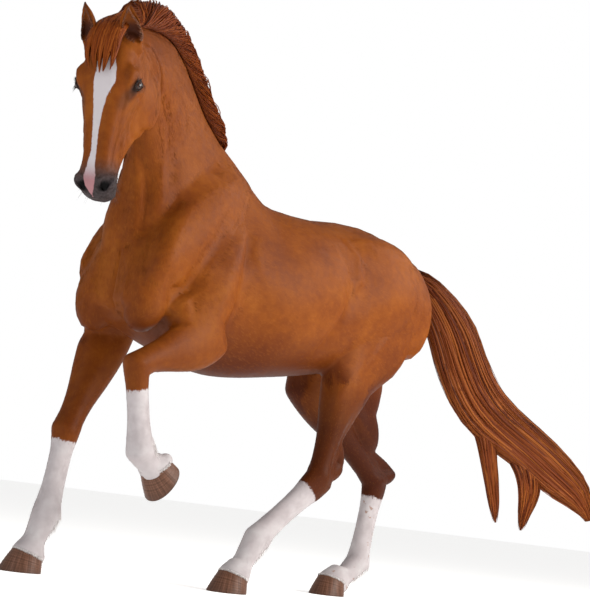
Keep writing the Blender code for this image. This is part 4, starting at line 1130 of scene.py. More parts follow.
def makeLocks(name, paths, aside, widths, thicks, shades, material):
    # paths: locks x rows x 3; aside: the same, pointing along each lock's width
    locks, rows = paths.shape[:2]
    run = np.gradient(paths, axis=1)
    aside = unit(aside - unit(run) * dotted(aside, unit(run))[..., None])
    over = np.cross(unit(run), aside)
    corners = np.stack([paths + aside * widths[..., None], paths + over * thicks[..., None],
                        paths - aside * widths[..., None], paths - over * thicks[..., None]], 2)
    points = corners.reshape(-1, 3)
    base = (np.arange(locks) * rows * 4)[:, None, None] + (np.arange(rows - 1) * 4)[None, :, None]
    k = np.arange(4)[None, None, :]
    quads = np.stack([base + k, base + (k + 1) % 4, base + 4 + (k + 1) % 4, base + 4 + k], -1).reshape(-1, 4)
    start = (np.arange(locks) * rows * 4)[:, None]
    caps = np.concatenate([start + np.arange(4)[::-1], start + (rows - 1) * 4 + np.arange(4)])
    obj = arrayObject(name, points, np.concatenate([quads, caps]), material)
    mesh = obj.data
    along, shade, strand, round_ = (np.broadcast_to(values, (locks, rows, 4)) for values in (
        (np.arange(rows) / (rows - 1))[:, None], shades[:, None, None],
        np.arange(locks)[:, None, None] * 0.37 + array((0, 0.25, 0.5, 0.25)), array((0, 1, 2, 1)) / 2))
    for key, values in (("along", along), ("shade", shade), ("strand", strand)):
        addValues(mesh, key, values.ravel())
    root = unwrapped(paths[:, 0])[:, None, None, :]
    spread = np.stack([round_ * 0.003, along * 0.003], -1)
    bakeMap(mesh, (root + spread).reshape(-1, 2))
    return obj


def hairCore(name, bm, material, shade, strand):  # the solid heart of a mass of hair
    core = bmeshObject(name, bm, material)
    where = meshPoints(core.data)
    for key, values in (("along", 0 * where[:, 0] + 0.5), ("shade", 0 * where[:, 0] + shade),
                        ("strand", (where * array(strand)).sum(1))):
        addValues(core.data, key, values)
    return core


def draws(count, low, high):
    return rng.uniform(low, high, (count, 1))


def waver(count, rows, size, waves=1.6):  # a smooth sideways wander for each lock, growing to its tip
    t = np.linspace(0, 1, rows)
    phase, pace = draws(count, 0, 2 * pi), draws(count, 0.5, 1) * waves
    return size * np.sin(phase + 2 * pi * pace * t) * t * draws(count, 0.4, 1)


def tapered(rows, tip, swell=0.35):
    t = np.linspace(0, 1, rows)
    slim = 1 - shareOf(t, 0.55, 0.45) ** 1.5
    return (0.75 + 0.25 * np.minimum(1, t / swell)) * (tip + (1 - tip) * slim)


def dressed(name, paths, aside, values, material):
    count, rows = paths.shape[:2]
    width = tapered(rows, values["tip"])[None, :] * draws(count, *values["spread"]) * values["width"]
    shades = np.clip(rng.normal(*values["shade"], count), 0, 1)
    return makeLocks(name, paths, aside, width, width * values["flat"], shades, material)


maneSet = {"locks": 2200, "rows": 10, "left": -14, "fall": 78, "stand": 0.122, "width": 0.0029, "clumpStep": 0.055,
           "firstStation": 1, "lastStation": 9, "firstRow": 2, "spread": (0.6, 1.3), "shade": (0.5, 0.2), "tip": 0.05,
           "flat": 0.4, "farShare": 0.52, "farDrift": (0.0, 0.36), "nearDrift": (0.26, 0.44), "nearFall": (14, 50)}
maneRows = curveRows(neckTable[maneSet["firstStation"]:maneSet["lastStation"]], 4)[maneSet["firstRow"]:]


def maneThick(share, turn):
    t = np.clip((turn - maneSet["left"]) / (maneSet["fall"] - maneSet["left"]), 0, 1)
    taper = np.minimum(1, np.minimum(0.25 + 6 * np.maximum(share, 0), 0.34 + 5 * (1 - share)))
    return maneSet["stand"] * (0.62 + 0.5 * share) * taper * np.sin(pi * np.minimum(1, 0.16 + t * 0.9)) ** 0.7 + 0.01


def manePoint(share, turn, height):  # share 0 at the withers and 1 at the poll; turn in degrees to the right
    neck = neckFrame(rowAt(maneRows, share))
    angle = np.radians(turn)
    _, side, up, _, _ = neck
    out = unit(up * np.cos(angle)[..., None] - side * np.sin(angle)[..., None])
    beyond = np.minimum(share, 0)[..., None] * (rowAt(maneRows, array(0.1)) - maneRows[0])[:3] / 0.1
    return neckSkin(neck, angle) + out * height[..., None] + beyond


def makeMane(material):
    bm = bmesh.new()
    share = np.linspace(0, 1, 60)[:, None] + np.zeros((1, 44))
    outer = np.arange(44) < 22
    t = np.where(outer, np.arange(44), 43 - np.arange(44)) / 21
    turn = maneSet["left"] + (maneSet["fall"] - maneSet["left"]) * t[None, :] + 0 * share
    starts, ends = np.minimum(1, share / 0.15), np.minimum(1, (1 - share) / 0.2)
    height = maneThick(share, turn) * 0.66 * rise(turn, maneSet["left"], 22) * starts * ends - 0.004
    height = np.where(outer[None, :], height, -0.014)
    tube(bm, manePoint(share, turn, height))
    pieces = [hairCore("maneCore", bm, material, 0.36, (60, 0, 25))]
    for name in ("maneLocks", "maneLocksMore"):
        count, rows = maneSet["locks"], maneSet["rows"]
        s = np.linspace(0, 1, rows)[None, :]
        start = np.minimum(draws(count, 0.1, 1.06), draws(count, 0.97, 1.0))
        far = draws(count, 0, 1) < maneSet["farShare"]  # these hang down the right side, the rest lie on the crest
        drift = np.where(far, draws(count, *maneSet["farDrift"]), draws(count, *maneSet["nearDrift"]))
        drift = np.minimum(drift, start + 0.06)
        goal = start - drift
        clump = np.clip(np.round(goal / maneSet["clumpStep"]), -1, 20).astype(int)
        layer = np.sqrt(draws(count, 0.1, 1))
        first = draws(count, maneSet["left"] - 6, 8) + 8 * far
        last = np.where(far, draws(count, 50, maneSet["fall"] + 8), draws(count, *maneSet["nearFall"]))
        turn = first + (last - first) * s ** 1.6
        gather = 0.5 * s ** 2.5 * (clump * maneSet["clumpStep"] - goal)
        share = np.clip(start - drift * s ** 0.85 + gather - waver(count, rows, 0.006), -0.07, 1)
        lift = rise(s, -0.1, 0.68)
        loose = rng.normal(0, 0.0025, (count, 1)) + waver(count, rows, 0.004) + 0.008 * s ** 4 * draws(count, -0.6, 1)
        thick = maneThick(share, turn) * (0.78 + 0.34 * layer) * lift * (1 - 0.2 * s ** 4)
        height = thick - 0.004 * (1 - lift) + loose * lift
        paths = manePoint(share, turn, height)
        neck = neckFrame(rowAt(maneRows, share))
        out = unit(neck[2] * np.cos(np.radians(turn))[..., None] - neck[1] * np.sin(np.radians(turn))[..., None])
        aside = np.cross(unit(np.gradient(paths, axis=1)), out)
        pieces.append(dressed(name, paths, aside, maneSet, material))
    return pieces


forelockSet = {"locks": 1500, "rows": 13, "width": 0.0037, "depth": 0.06, "bridge": 22,
               "spread": (0.6, 1.25), "shade": (0.55, 0.2), "tip": 0.05, "flat": 0.4}
forelockRows = curveRows(((-0.066, -0.215, 0.032, 0.074), (-0.05, -0.14, 0.04, 0.062), (-0.03, -0.078, 0.05, 0.046),
                          (-0.004, -0.022, 0.057, 0.034), (0.045, 0.012, 0.06, 0.025), (0.1, 0.026, 0.058, 0.018),
                          (0.145, 0.031, 0.048, 0.012), (0.176, 0.032, 0.034, 0.006)), 6)


def makeForelock(material):
    count, rows = forelockSet["locks"], forelockSet["rows"]
    t = np.linspace(0, 1, rows)[None, :]
    begin = draws(count, 0.0, 0.36)
    side = draws(count, -1, 1)
    end = draws(count, 0.7, 1.0) * (1 - 0.08 * side ** 2)
    layer = draws(count, 0, 1) ** 0.6
    table = np.concatenate([forelockRows, unit(np.gradient(forelockRows[:, :2], axis=0))], 1)
    row = rowAt(table, begin + (end - begin) * t)
    tips = array((-0.95, -0.35, 0.02, 0.38, 0.98))  # the hair gathers into points
    nearest = tips[np.argmin(np.abs(side - tips[None, :]), axis=1)][:, None]
    gather = shareOf(t, 0.62, 0.38)
    spread = side * (0.72 + 0.28 * np.minimum(1, t / 0.4)) + (nearest - side) * 0.85 * gather
    middle = np.interp(row[..., 0], (-0.064, -0.03, 0.05, 0.12, 0.17), (0.016, 0.01, -0.004, -0.005, 0.0))
    low = forelockSet["depth"] * draws(count, 0, 1) ** 1.5 * (1 - rise(row[..., 0], -0.05, 0.005))
    thick = row[..., 3] * layer * np.sqrt(np.clip(1 - 0.75 * side ** 2, 0, 1)) + 0.002 - low
    s = middle + row[..., 2] * spread + waver(count, rows, 0.0018)
    paths = onHead(row[..., 0] - row[..., 5] * thick, s, row[..., 1] + row[..., 4] * thick)
    aside = np.broadcast_to(headWay(0, 1, 0), paths.shape)
    bm = bmesh.new()  # the mass of hair that bridges the poll
    rows = forelockRows[:forelockSet["bridge"]]
    angle = np.linspace(0, 2 * pi, 20, endpoint=False)[None, :]
    high = (rows[:, 3] * 0.55 + forelockSet["depth"])[:, None] / 2
    out = (rows[:, 3] * 0.55 - forelockSet["depth"])[:, None] / 2 + high * np.sin(angle)
    across = unit(np.gradient(rows[:, :2], axis=0))
    wide = rows[:, 2:3] * 0.8 * np.cos(angle) + 0.01
    tube(bm, onHead(rows[:, :1] - across[:, 1:] * out, wide, rows[:, 1:2] + across[:, :1] * out))
    core = hairCore("forelockCore", bm, material, 0.36, (0, 70, 10))
    return [core, dressed("forelockLocks", paths, aside, forelockSet, material)]


tailSet = {"root": (-0.69, 0.0, 0.0), "swing": 150, "sides": 24, "rows": 15, "width": 0.0052,
           "mass": 1400, "low": 420, "middle": 480, "spread": (0.5, 1.25), "shade": (0.5, 0.24), "tip": 0.04,
           "flat": 0.34, "rootShare": 0.62, "lowRoots": (0.05, 0.55)}  # the rest of the locks begin lower down
tailSheaves = {  # along, height, half depth, half thickness
    "mass": ((-0.03, 1.372, 0.05, 0.045), (0.07, 1.336, 0.066, 0.05), (0.155, 1.25, 0.092, 0.058),
             (0.225, 1.15, 0.11, 0.06), (0.28, 1.036, 0.114, 0.06), (0.338, 0.936, 0.114, 0.056),
             (0.415, 0.852, 0.112, 0.05), (0.518, 0.78, 0.104, 0.046), (0.645, 0.706, 0.098, 0.042),
             (0.765, 0.625, 0.092, 0.036), (0.865, 0.555, 0.072, 0.028), (0.925, 0.48, 0.034, 0.018),
             (0.94, 0.44, 0.012, 0.01)),
    "low": ((0.37, 0.88, 0.06, 0.03), (0.425, 0.74, 0.046, 0.028), (0.462, 0.6, 0.034, 0.022),
            (0.492, 0.48, 0.026, 0.016), (0.512, 0.385, 0.01, 0.009)),
    "middle": ((0.53, 0.76, 0.06, 0.028), (0.62, 0.64, 0.058, 0.026), (0.65, 0.54, 0.05, 0.022),
               (0.64, 0.44, 0.03, 0.016), (0.63, 0.365, 0.011, 0.009)),
}


def makeTail(material):
    swing = radians(tailSet["swing"])
    back = array((cos(swing), sin(swing), 0))
    aside = array((-sin(swing), cos(swing), 0))
    root = array(tailSet["root"])
    made = []
    core = bmesh.new()
    for name, table in tailSheaves.items():
        rows = curveRows(table, 6)
        middle = root + np.outer(rows[:, 0], back) + np.outer(rows[:, 1], (0, 0, 1))
        run = unit(np.gradient(middle, axis=0))
        over = np.cross(run, aside)
        angle = turnsOf(tailSet["sides"])
        shrink = 0.8 * (1 - 0.5 * rise(np.linspace(0, 1, len(rows)), 0.8, 1.0))
        rings = (middle[:, None] + (shrink * rows[:, 2])[:, None, None] * np.cos(angle)[None, :, None] * over[:, None]
                 + (shrink * rows[:, 3])[:, None, None] * np.sin(angle)[None, :, None] * aside)
        tube(core, rings)
        count, steps = tailSet[name], tailSet["rows"]
        for half in range(2 if name == "mass" else 1):
            t = np.linspace(0, 1, steps)[None, :]
            if name == "mass":
                high, low = draws(count, 0, 1) < tailSet["rootShare"], tailSet["lowRoots"]
                begin = np.where(high, draws(count, 0, 0.1), draws(count, *low))
                end = np.clip(begin + draws(count, 0.42, 1.0), 0.45, 1.0)
            else:
                begin, end = draws(count, 0, 0.35), draws(count, 0.62, 1.0)
            share = begin + (end - begin) * t
            turn = draws(count, 0, 2 * pi)
            depth = np.sqrt(draws(count, 0.35, 1))
            row = rowAt(np.concatenate([middle, run, over, rows[:, 2:]], 1), share)
            alongDepth = row[..., 9] * (np.cos(turn) * depth + waver(count, steps, 0.1, 1.2))
            alongThick = row[..., 10] * (np.sin(turn) * depth + waver(count, steps, 0.12, 1.2))
            paths = row[..., :3] + row[..., 6:9] * alongDepth[..., None] + aside * alongThick[..., None]
            outward = row[..., 6:9] * np.cos(turn)[..., None] + aside * np.sin(turn)[..., None]
            flat = np.cross(unit(row[..., 3:6]), outward)
            made.append(dressed("tail" + name.capitalize() + "AB"[half], paths, flat, tailSet, material))
    # the core is darker than the locks: painted shade deep in the tail
    return [hairCore("tailCore", core, material, 0.15, (0, 0, 30))] + made


tuftShape = {"middle": 0.45, "bend": 0.93, "rise": 0.22, "sunk": 0.0006}
# Tufts of each region: number, length, half width, height over the skin
tuftSet = {"trunk": (28000, 0.02, 0.0024, 0.0004), "neck": (13000, 0.017, 0.0022, 0.0004),
           "head": (18000, 0.007, 0.0011, 0.0003), "legs": (17000, 0.0105, 0.0014, 0.0004)}
bareSet = {"eye": 0.027, "nostril": 0.028, "lips": 0.53}  # the head has no tufts within these


def scatter(obj):  # tufts that lie flat over the whole skin
    mesh = obj.data
    mesh.calc_loop_triangles()
    triangles = readOut(mesh.loop_triangles, "vertices", 3, np.int32)
    points, normals = meshPoints(mesh), meshNormals(mesh)
    a, b, c = (points[triangles[:, i]] for i in range(3))
    area = norms(np.cross(b - a, c - a)) / 2
    middle = (a + b + c) / 3
    regions = regionOf(middle)
    tree = BVHTree.FromPolygons(points.tolist(), triangles.tolist())
    for region, (count, *sizes) in tuftSet.items():
        chosen = np.nonzero(regions == region)[0]
        picked = rng.choice(chosen, count, p=area[chosen] / area[chosen].sum())
        mix = rng.dirichlet((1, 1, 1), count)
        corner = triangles[picked]
        root = (points[corner] * mix[..., None]).sum(1)
        normal = unit((normals[corner] * mix[..., None]).sum(1))
        makeTufts(region, sizes, root, normal, tree)


def regionOf(points):
    spot = legPlaces(points)[1]
    legs = (spot > 1.15) & (points[:, 2] < 0.95)
    neck = (points[:, 0] > 0.5) & (points[:, 2] > 1.35)
    return np.where(isHead(points), "head", np.where(legs, "legs", np.where(neck, "neck", "trunk")))


def laidOn(tree, points, height):  # the same points, moved to a height over the skin
    found = [tree.find_nearest(point)[:2] for point in points]
    ways = array([tuple(way) for _, way in found])
    return array([tuple(spot) for spot, _ in found]) + ways * height, ways


def makeTufts(region, sizes, root, normal, tree):
    if region == "head":
        keep = inHead(root)[0] < bareSet["lips"]
        for side in (1, -1):
            keep &= norms(root - cheekPlace(eyeSet, side)) > bareSet["eye"]
            keep &= norms(root - cheekPlace(nostrilSet, side)) > bareSet["nostril"]
            ear, up = earFrame(side)[:2]
            keep &= (dotted(root - ear, up) < 0.01) | (norms(root - ear) > earSet["reach"])
        root, normal = root[keep], normal[keep]
    count = len(root)
    lie = lieOf(root, normal)
    turn = rng.normal(0, 0.12, (count, 1))
    side = np.cross(normal, lie)
    lie = unit(lie + side * turn)
    side = np.cross(normal, lie)
    size = draws(count, 0.65, 1.25)
    length, width, height = (value * size for value in sizes)
    middle = laidOn(tree, root + lie * length * tuftShape["middle"], height)[0]
    tip, tipWay = laidOn(tree, root + lie * length, height * 0.8)
    flat = dotted(tipWay, normal) > tuftShape["bend"]
    flat &= np.abs(dotted(tip - root, normal)) < length[:, 0] * tuftShape["rise"]
    root, normal, lie, side, middle, tip = (value[flat] for value in (root, normal, lie, side, middle, tip))
    length, width, height = (value[flat] for value in (length, width, height))
    count = len(root)
    base = root - normal * tuftShape["sunk"]
    chord = base + (tip - base) * tuftShape["middle"]  # the middle stays over the line from root to tip
    middle = chord + normal * np.maximum(dotted(middle - chord, normal)[:, None], height * 0.9)
    points = np.stack([base + side * width * 0.8, base - side * width * 0.8,
                       middle + side * width, middle - side * width, tip], 1).reshape(-1, 3)
    start = (np.arange(count) * 5)[:, None]
    corners = ((0, 3, 2), (0, 1, 3), (2, 3, 4), (0, 2, 4), (1, 4, 3), (0, 4, 1))
    faces = np.concatenate([start + np.array(face) for face in corners])
    obj = arrayObject("coat" + region.capitalize(), points, faces, coatTufts)
    mesh = obj.data
    addMarkings(mesh, root, 5)
    addValues(mesh, "shade", np.repeat(rng.uniform(0, 0.1, count), 5))
    normal, lie, side = (np.repeat(values, 5, 0) for values in (normal, lie, side))
    onward, sideways = ((-0.03, -0.03, 0, 0, 0.05), (0.05, -0.05, 0.06, -0.06, 0))  # how far the corners tilt
    tilted = unit(normal + lie * np.tile(onward, count)[:, None] + side * np.tile(sideways, count)[:, None])
    mesh.normals_split_custom_set_from_vertices([tuple(value) for value in tilted])
    patch = array(((0, 0), (1, 0), (0.1, 0.5), (0.9, 0.5), (0.5, 1))) * 0.003
    bakeMap(mesh, (unwrapped(root)[:, None, :] + patch).reshape(-1, 2))
    coatPieces.append(obj)


# Horse's eye: dark brown iris with a flat lying pupil, behind a wet clear cornea
def makeEyeMaterial():
    material = newMaterial("wet brown eye")
    across, high = valuesOf(material, "across", "high")
    span = mathOf("SQRT", plus(times(across, across), times(high, high)))
    pupil = plus(*(mathOf("POWER", mathOf("ABSOLUTE", mathOf("DIVIDE", value, half)), 2.6)
                   for value, half in ((across, 0.44), (high, 0.2))))
    streaks = bareNoise(9.0, 4.0, X=mathOf("ARCTAN2", high, across), Y=times(span, 0.4))
    iris = rampOf(streaks, ((0.3, "#1C0D07"), (0.6, "#3A1C0E"), (0.8, "#55301A")))
    colour = mixOf(rampOf(span, ((0.62, 0.0), (0.72, 1.0))), iris, "#120A08")
    colour = mixOf(rampOf(pupil, ((0.85, 1.0), (1.0, 0.0))), colour, "#030303")
    return finished(material, Base_Color=colour, Roughness=0.1, Specular_IOR_Level=0.2, Coat_Weight=0.4,
                    Coat_Roughness=0.02)


def makeEye(side, material):
    centre, out, along, up = eyeFrame(side)
    word = "Left" if side > 0 else "Right"
    bm = bmesh.new()
    ball(bm, framed((along * eyeSet["radius"], up * eyeSet["radius"], out * eyeSet["radius"]), (0, 0, 0)), 48, 32)
    obj = bmeshObject("eye" + word, bm, material)
    points = meshPoints(obj.data)
    way = unit(points)
    points = points * (1 + 0.045 * rise(way @ out, 0.55, 1.0))[:, None]  # the cornea bulges
    setPoints(obj.data, points + centre)
    addValues(obj.data, "across", way @ along)
    addValues(obj.data, "high", way @ up)
    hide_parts("eye_left" if side > 0 else "eye_right")
    return place(obj)


# Hoof horn: striped brown keratin with growth rings, darker low down and rasped smooth
def makeHornMaterial():
    material = newMaterial("hoof horn")
    where = placesOf(material)
    high, around, sole = valuesOf(material, "high", "around", "sole")
    lines = bareNoise(1.0, 3.0, X=times(around, 16.0), Y=times(high, 0.8))
    rings = bareNoise(1.0, 2.0, Y=times(high, 14.0))
    tone = plus(times(lines, 0.6), times(rings, 0.4))
    colour = rampOf(tone, ((0.32, "#432A20"), (0.48, "#5F4030"), (0.62, "#785343"), (0.8, "#93705B")))
    colour = mixOf(rampOf(high, ((0.0, 0.45), (0.35, 0.0))), colour, "#3E2C25")
    colour = mixOf(rampOf(sole, ((0.2, 0.0), (0.8, 1.0))), colour, "#4A4038")
    grit = noiseOf(where, 4, 3.0)
    return finished(material, plus(tone, times(grit, 0.3)), 0.35, 0.0012, Base_Color=colour,
                    Roughness=plus(times(grit, 0.2), 0.32), Specular_IOR_Level=0.2)


def makeHoof(leg, material):
    sides, count = hoofSet["sides"], hoofSet["rings"]
    turn = turnsOf(sides)
    frame4 = array(hoofFrame(leg))
    rings = []
    # the sole: from its middle out to the rim, hollow inside the wall
    for inward, lift in hoofSet["sole"]:
        x, y = hoofOutline(turn, 0, inward)
        frog = bell(y, 0, np.maximum(0.006, 0.02 - 0.2 * (x + 0.05))) * rise(-x, -0.03, 0.0) * (inward < 0.9)
        rings.append(np.stack([x, y, lift - 0.006 * frog * (lift > 0.008)], -1))
    for share in np.linspace(0, 1, count):
        toe, heel, half = (hoofSet[k][0] + (hoofSet[k][1] - hoofSet[k][0]) * share for k in ("toe", "heel", "half"))
        back = hoofSet["back"] * share
        ripple = 0.0005 * sin(share * 2 * pi * 6.5) + 0.0009 * bell(share, 0.94, 0.05)
        edge = 0.0012 * (share < 0.02)
        x = (np.where(np.cos(turn) > 0, toe, heel) + ripple - edge) * np.cos(turn) - back
        y = (half + ripple - edge) * bent(np.sin(turn), 0.9)
        z = (coronetHeight(x) * share) if share else 0.0 * x
        rings.append(np.stack([x, y, z], -1))
    # the top closes inside the skin
    x = rings[-1][:, 0] * 0.7 - hoofSet["back"] * 0.3
    rings.append(np.stack([x, rings[-1][:, 1] * 0.7, coronetHeight(x) - 0.006], -1))
    bm = bmesh.new()
    tube(bm, throughFrame(array(rings), frame4))
    obj = bmeshObject("hoof" + leg[0].upper() + leg[1:], bm, material)
    local = inFrame(meshPoints(obj.data), frame4)
    addValues(obj.data, "high", np.clip(local[:, 2] / np.maximum(coronetHeight(local[:, 0]), 0.01), 0, 1))
    addValues(obj.data, "around", np.abs(np.arctan2(local[:, 1], local[:, 0] + 0.02)))
    inner = np.sqrt((local[:, 0] / 0.078) ** 2 + (local[:, 1] / 0.066) ** 2)
    addValues(obj.data, "sole", (inner < 0.93) * (local[:, 2] < 0.012))
    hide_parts("hoof_" + leg[:4] + "_" + leg[4:].lower())
    return place(obj)


# Fine stiff hairs: half width, droop at the tip, and how many
fringeSet = {"eyeLashes": (0.00045, -0.35, (70, 26)), "whiskers": (0.0004, -0.3, (90,)),
             "earHair": (0.0008, -0.1, (420,)), "fetlockHair": (0.0011, -0.15, (230, 380))}


def fringe(name, roots, ways, lengths, material, rows=5):
    halfWidth, droop, _ = fringeSet[name]
    roots, ways, lengths = array(roots), unit(ways), array(lengths)[:, None, None]
    shades = rng.uniform(0, 1, len(roots))
    t = np.linspace(0, 1, rows)[None, :, None]
    paths = roots[:, None] + ways[:, None] * t * lengths + array((0, 0, droop)) * t ** 2 * lengths
    aside = np.cross(ways, rng.normal(0, 1, roots.shape))[:, None] + np.zeros_like(paths)
    width = np.linspace(1, 0.12, rows)[None, :] * np.full(len(roots), halfWidth)[:, None]
    return makeLocks(name, paths, aside, width, width * 0.6, shades, material)


def simpleHair(name, dark, light, rough):  # fine stiff hairs of one colour, light and dark by hair
    material = newMaterial(name)
    tone = rampOf(valuesOf(material, "shade")[0], ((0.0, dark), (1.0, light)))
    return finished(material, Base_Color=tone, Roughness=rough)


def skinAt(tree, start, way):  # a point and its normal where a ray meets the skin
    hit, normal, _, _ = tree.ray_cast(Vector(start), Vector(way))
    return (array(hit), array(normal)) if hit is not None else (None, None)


def makeLashes(material):
    roots, ways = [], []
    for side in (1, -1):
        centre, out, along, up = eyeFrame(side)
        for upper, count in zip((1, -1), fringeSet["eyeLashes"][2]):
            for turn in np.linspace(0.16, 0.84, count) * pi:
                half = lidSet["upper"] if upper > 0 else lidSet["lower"]
                x, y = 0.96 * lidSet["length"] * cos(turn) * upper, 1.08 * half * sin(turn) ** 0.8 * upper
                size = sqrt(x * x + y * y)
                way = out * cos(size) + (along * x + up * y) / size * sin(size)
                roots.append(centre + way * (eyeSet["radius"] + 0.0024))
                curl = up * (0.55 if upper > 0 else -0.6)
                ways.append(way + curl + along * 0.2 * cos(turn) + rng.normal(0, 0.06, 3))
    return fringe("eyeLashes", roots, ways, rng.uniform(0.009, 0.016, len(roots)), material)


def makeWhiskers(tree, material):
    roots, ways = [], []
    for _ in range(*fringeSet["whiskers"][2]):
        a, n, side = rng.uniform(0.49, 0.58), rng.uniform(-0.16, -0.07), rng.choice((-1, 1))
        root, normal = skinAt(tree, onHead(a, 0.4 * side, n), headWay(0, -side, 0))
        if root is None:
            continue
        roots.append(root - normal * 0.001)
        ways.append(normal + headWay(0.5, 0, -0.2) + rng.normal(0, 0.2, 3))
    return fringe("whiskers", roots, ways, rng.uniform(0.012, 0.034, len(roots)), material)


def makeEarHair(material):
    roots, ways, lengths = [], [], []
    for side in (1, -1):
        root, up, outward, across = earFrame(side)
        for _ in range(*fringeSet["earHair"][2]):
            height = rng.uniform(0.02, 0.86)
            _, width, depth, opening = earRow(height)
            edge = rng.choice((-1, 1))
            turn = (opening * pi + rng.uniform(0.0, 0.5)) * edge
            lean = across * (-side * earSet["lean"] * sin(pi * height)) + outward * (earSet["back"] * height)
            spot = (root + up * (earSet["length"] * height) + lean + across * (sin(turn) * (width - 0.004))
                    + outward * (cos(turn) * (depth - 0.004)))
            roots.append(spot)
            ways.append(-across * sin(turn) * 0.9 + up * 0.8 + outward * 0.35 + rng.normal(0, 0.15, 3))
            lengths.append(rng.uniform(0.008, 0.02))
    return fringe("earHair", roots, ways, lengths, material)


def makeFeather(tree, material):  # longer hair behind the fetlocks and round the coronets
    roots, ways, lengths = [], [], []
    behind, round_ = fringeSet["fetlockHair"][2]
    for leg in legJoints:
        frame4 = array(hoofFrame(leg))
        for _ in range(behind):
            spot, turn = rng.uniform(2.86, 3.3), pi + rng.normal(0, 0.42)
            centre, down, side, ahead = legFrame(legJoints[leg], spot)
            way = side * sin(turn) + ahead * cos(turn)
            root, normal = skinAt(tree, centre + way * 0.14, -way)
            if root is None or np.linalg.norm(root - centre) > 0.09:
                continue
            roots.append(root - normal * 0.001)
            ways.append(down + normal * 0.3 + rng.normal(0, 0.08, 3))
            lengths.append(rng.uniform(0.014, 0.03))
        for turn in np.linspace(0, 2 * pi, round_, endpoint=False):
            x = (hoofSet["toe"][1] if cos(turn) > 0 else hoofSet["heel"][1]) * cos(turn) - hoofSet["back"]
            y = hoofSet["half"][1] * bent(sin(turn), 0.9)
            local = array((x * 1.04, y * 1.07, coronetHeight(x) + rng.uniform(0.003, 0.008)))
            grow = unit(array((cos(turn), sin(turn), 0)))
            roots.append(frame4[:3, :3] @ (local - grow * 0.002) + frame4[:3, 3])
            ways.append(frame4[:3, :3] @ (grow * 0.24 + array((0, 0, -1))) + rng.normal(0, 0.06, 3))
            lengths.append(rng.uniform(0.005, 0.009))
    return fringe("fetlockHair", roots, ways, lengths, material)


fleshNodes = ["head", "neck", "trunk_forehand", "trunk_barrel", "trunk_hindquarters", "thigh_left", "thigh_right",
              "ear_left", "ear_right"]
for pair in (("forearm", "knee", "cannon_fore", "pastern_fore"), ("gaskin", "hock", "cannon_hind", "pastern_hind")):
    for piece in pair:
        fleshNodes += [piece + "_left", piece + "_right"]

coatMaterial = makeCoatMaterial("chestnut coat", 0.5, False)
coatTufts = makeCoatMaterial("chestnut coat tufts", 0.52, True)
maneHair = makeHairMaterial("red mane hair", "#401403", "#6C2C08", "#984F18")
tailHair = makeHairMaterial("streaked tail hair", "#3E1506", "#6C300E", "#95531F")
darkHair = simpleHair("lash and whisker hair", "#120D0B", "#3A2C26", 0.4)
innerEarHair = simpleHair("inner ear hair", "#4A2412", "#8A5230", 0.5)
whiteHair = simpleHair("white fetlock hair", "#BDB4B2", "#E6E2E0", 0.5)

skin = makeSkin()
skin.data.materials.append(coatMaterial)
addMarkings(skin.data, meshPoints(skin.data))
print("skin:", len(skin.data.polygons), "faces")
skinTree = treeOf(skin)

coatPieces = []
scatter(skin)
print("coat tufts:", sum(len(piece.data.polygons) for piece in coatPieces))

lashes = makeLashes(darkHair)
whiskers = makeWhiskers(skinTree, darkHair)
earHair = makeEarHair(innerEarHair)
feather = makeFeather(skinTree, whiteHair)
for piece in [skin] + coatPieces + [lashes, whiskers, earHair, feather]:
    place(piece)
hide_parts(*fleshNodes)

mane, forelock, tail = makeMane(maneHair), makeForelock(maneHair), makeTail(tailHair)
tailNodes = ["tail_" + part for part in ("dock", "upper", "middle", "end", "lock_low", "lock_middle")]
for pieces, nodes in ((mane, ["mane"]), (forelock, ["forelock"]), (tail, tailNodes)):
    for piece in pieces:
        place(piece)
        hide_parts(*nodes)
print("hair:", sum(len(piece.data.polygons) for piece in mane + forelock + tail))

eyeMaterial, hornMaterial = makeEyeMaterial(), makeHornMaterial()
for side in (1, -1):
    makeEye(side, eyeMaterial)
for leg in legJoints:
    makeHoof(leg, hornMaterial)
print("eyes and hooves made")


studioSet = {"floor": "#F4F3F1", "glow": 0.52, "world": 0.42}


def makeFloor():
    material = finished(newMaterial("pale studio floor"), Base_Color=hexColour(studioSet["floor"]), Roughness=0.8,
                        Specular_IOR_Level=0.1, Emission_Color=(1, 1, 1, 1), Emission_Strength=studioSet["glow"])
    bm = bmesh.new()
    bmesh.ops.create_circle(bm, cap_ends=True, segments=96, radius=60)
    floor = bmeshObject("studioFloor", bm, material)
    if floor.data.polygons[0].normal.z < 0:
        floor.data.flip_normals()


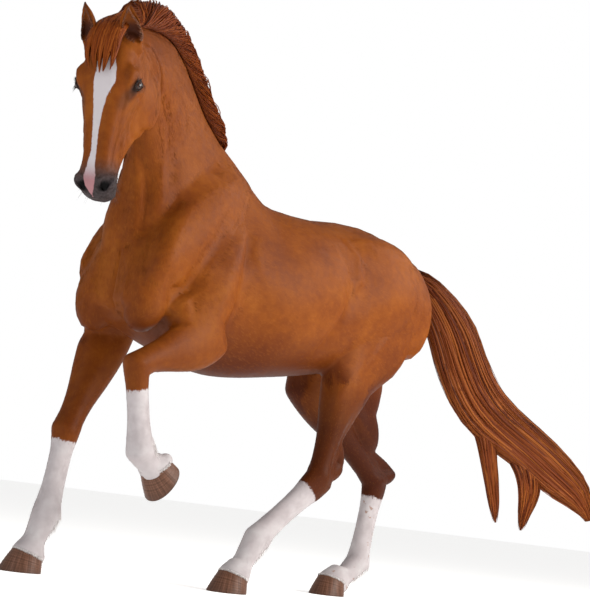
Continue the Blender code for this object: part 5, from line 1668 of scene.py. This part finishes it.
def addLight(name, place, target, size, power, colour):
    light = newObject(name, bpy.data.lights.new(name, "AREA"))
    light.data.size = size
    light.data.energy = power
    light.data.color = colour
    light.location = place
    light.rotation_euler = (Vector(target) - Vector(place)).to_track_quat("-Z", "Y").to_euler()


def makeWorld():
    world = bpy.data.worlds.new("studio")
    world.use_nodes = True
    seen = addNode(world, "ShaderNodeLightPath").outputs["Is Camera Ray"]
    # the backdrop itself shows white
    power = addNode(world, "ShaderNodeMapRange", Value=seen, To_Min=studioSet["world"])
    sky = world.node_tree.nodes["Background"]
    world.node_tree.links.new(power.outputs[0], sky.inputs[1])
    sky.inputs[0].default_value = (1, 1, 1, 1)
    bpy.context.scene.world = world


lights = {  # place, target, size, power, colour
    "keyLight": ((-2.4, 4.9, 3.1), (0.0, 0.0, 1.1), 3.0, 350, (1.0, 0.97, 0.93)),
    "fillLight": ((5.0, 0.5, 2.2), (0.3, 0.0, 1.1), 3.5, 45, (0.95, 0.97, 1.0)),
    "rimLight": ((-4.2, 1.5, 3.8), (-0.2, 0.0, 1.2), 2.5, 70, (1.0, 0.98, 0.95)),
}
makeFloor()
for name, values in lights.items():
    addLight(name, *values)
makeWorld()

cameraSet = {"place": (4.9324, 4.967, 0.35), "heading": 225.09, "pitch": 6.613, "roll": 7.02, "lens": 105.9,
             "sensor": 36, "reach": 200}


def makeCamera():
    heading, pitch, roll = (radians(cameraSet[k]) for k in ("heading", "pitch", "roll"))
    ahead = Vector((cos(heading) * cos(pitch), sin(heading) * cos(pitch), sin(pitch)))
    right = ahead.cross(Vector((0, 0, 1))).normalized()
    up = right.cross(ahead)
    right, up = right * cos(roll) + up * sin(roll), up * cos(roll) - right * sin(roll)
    camera = newObject("camera", bpy.data.cameras.new("camera"))
    camera.data.sensor_fit = "VERTICAL"
    camera.data.sensor_height = cameraSet["sensor"]
    camera.data.lens = cameraSet["lens"]
    camera.data.clip_end = cameraSet["reach"]
    camera.matrix_world = framed((right, up, -ahead), Vector(cameraSet["place"]) + Vector(origin))
    bpy.context.scene.camera = camera


makeCamera()
bpy.context.scene.view_settings.view_transform = "Standard"
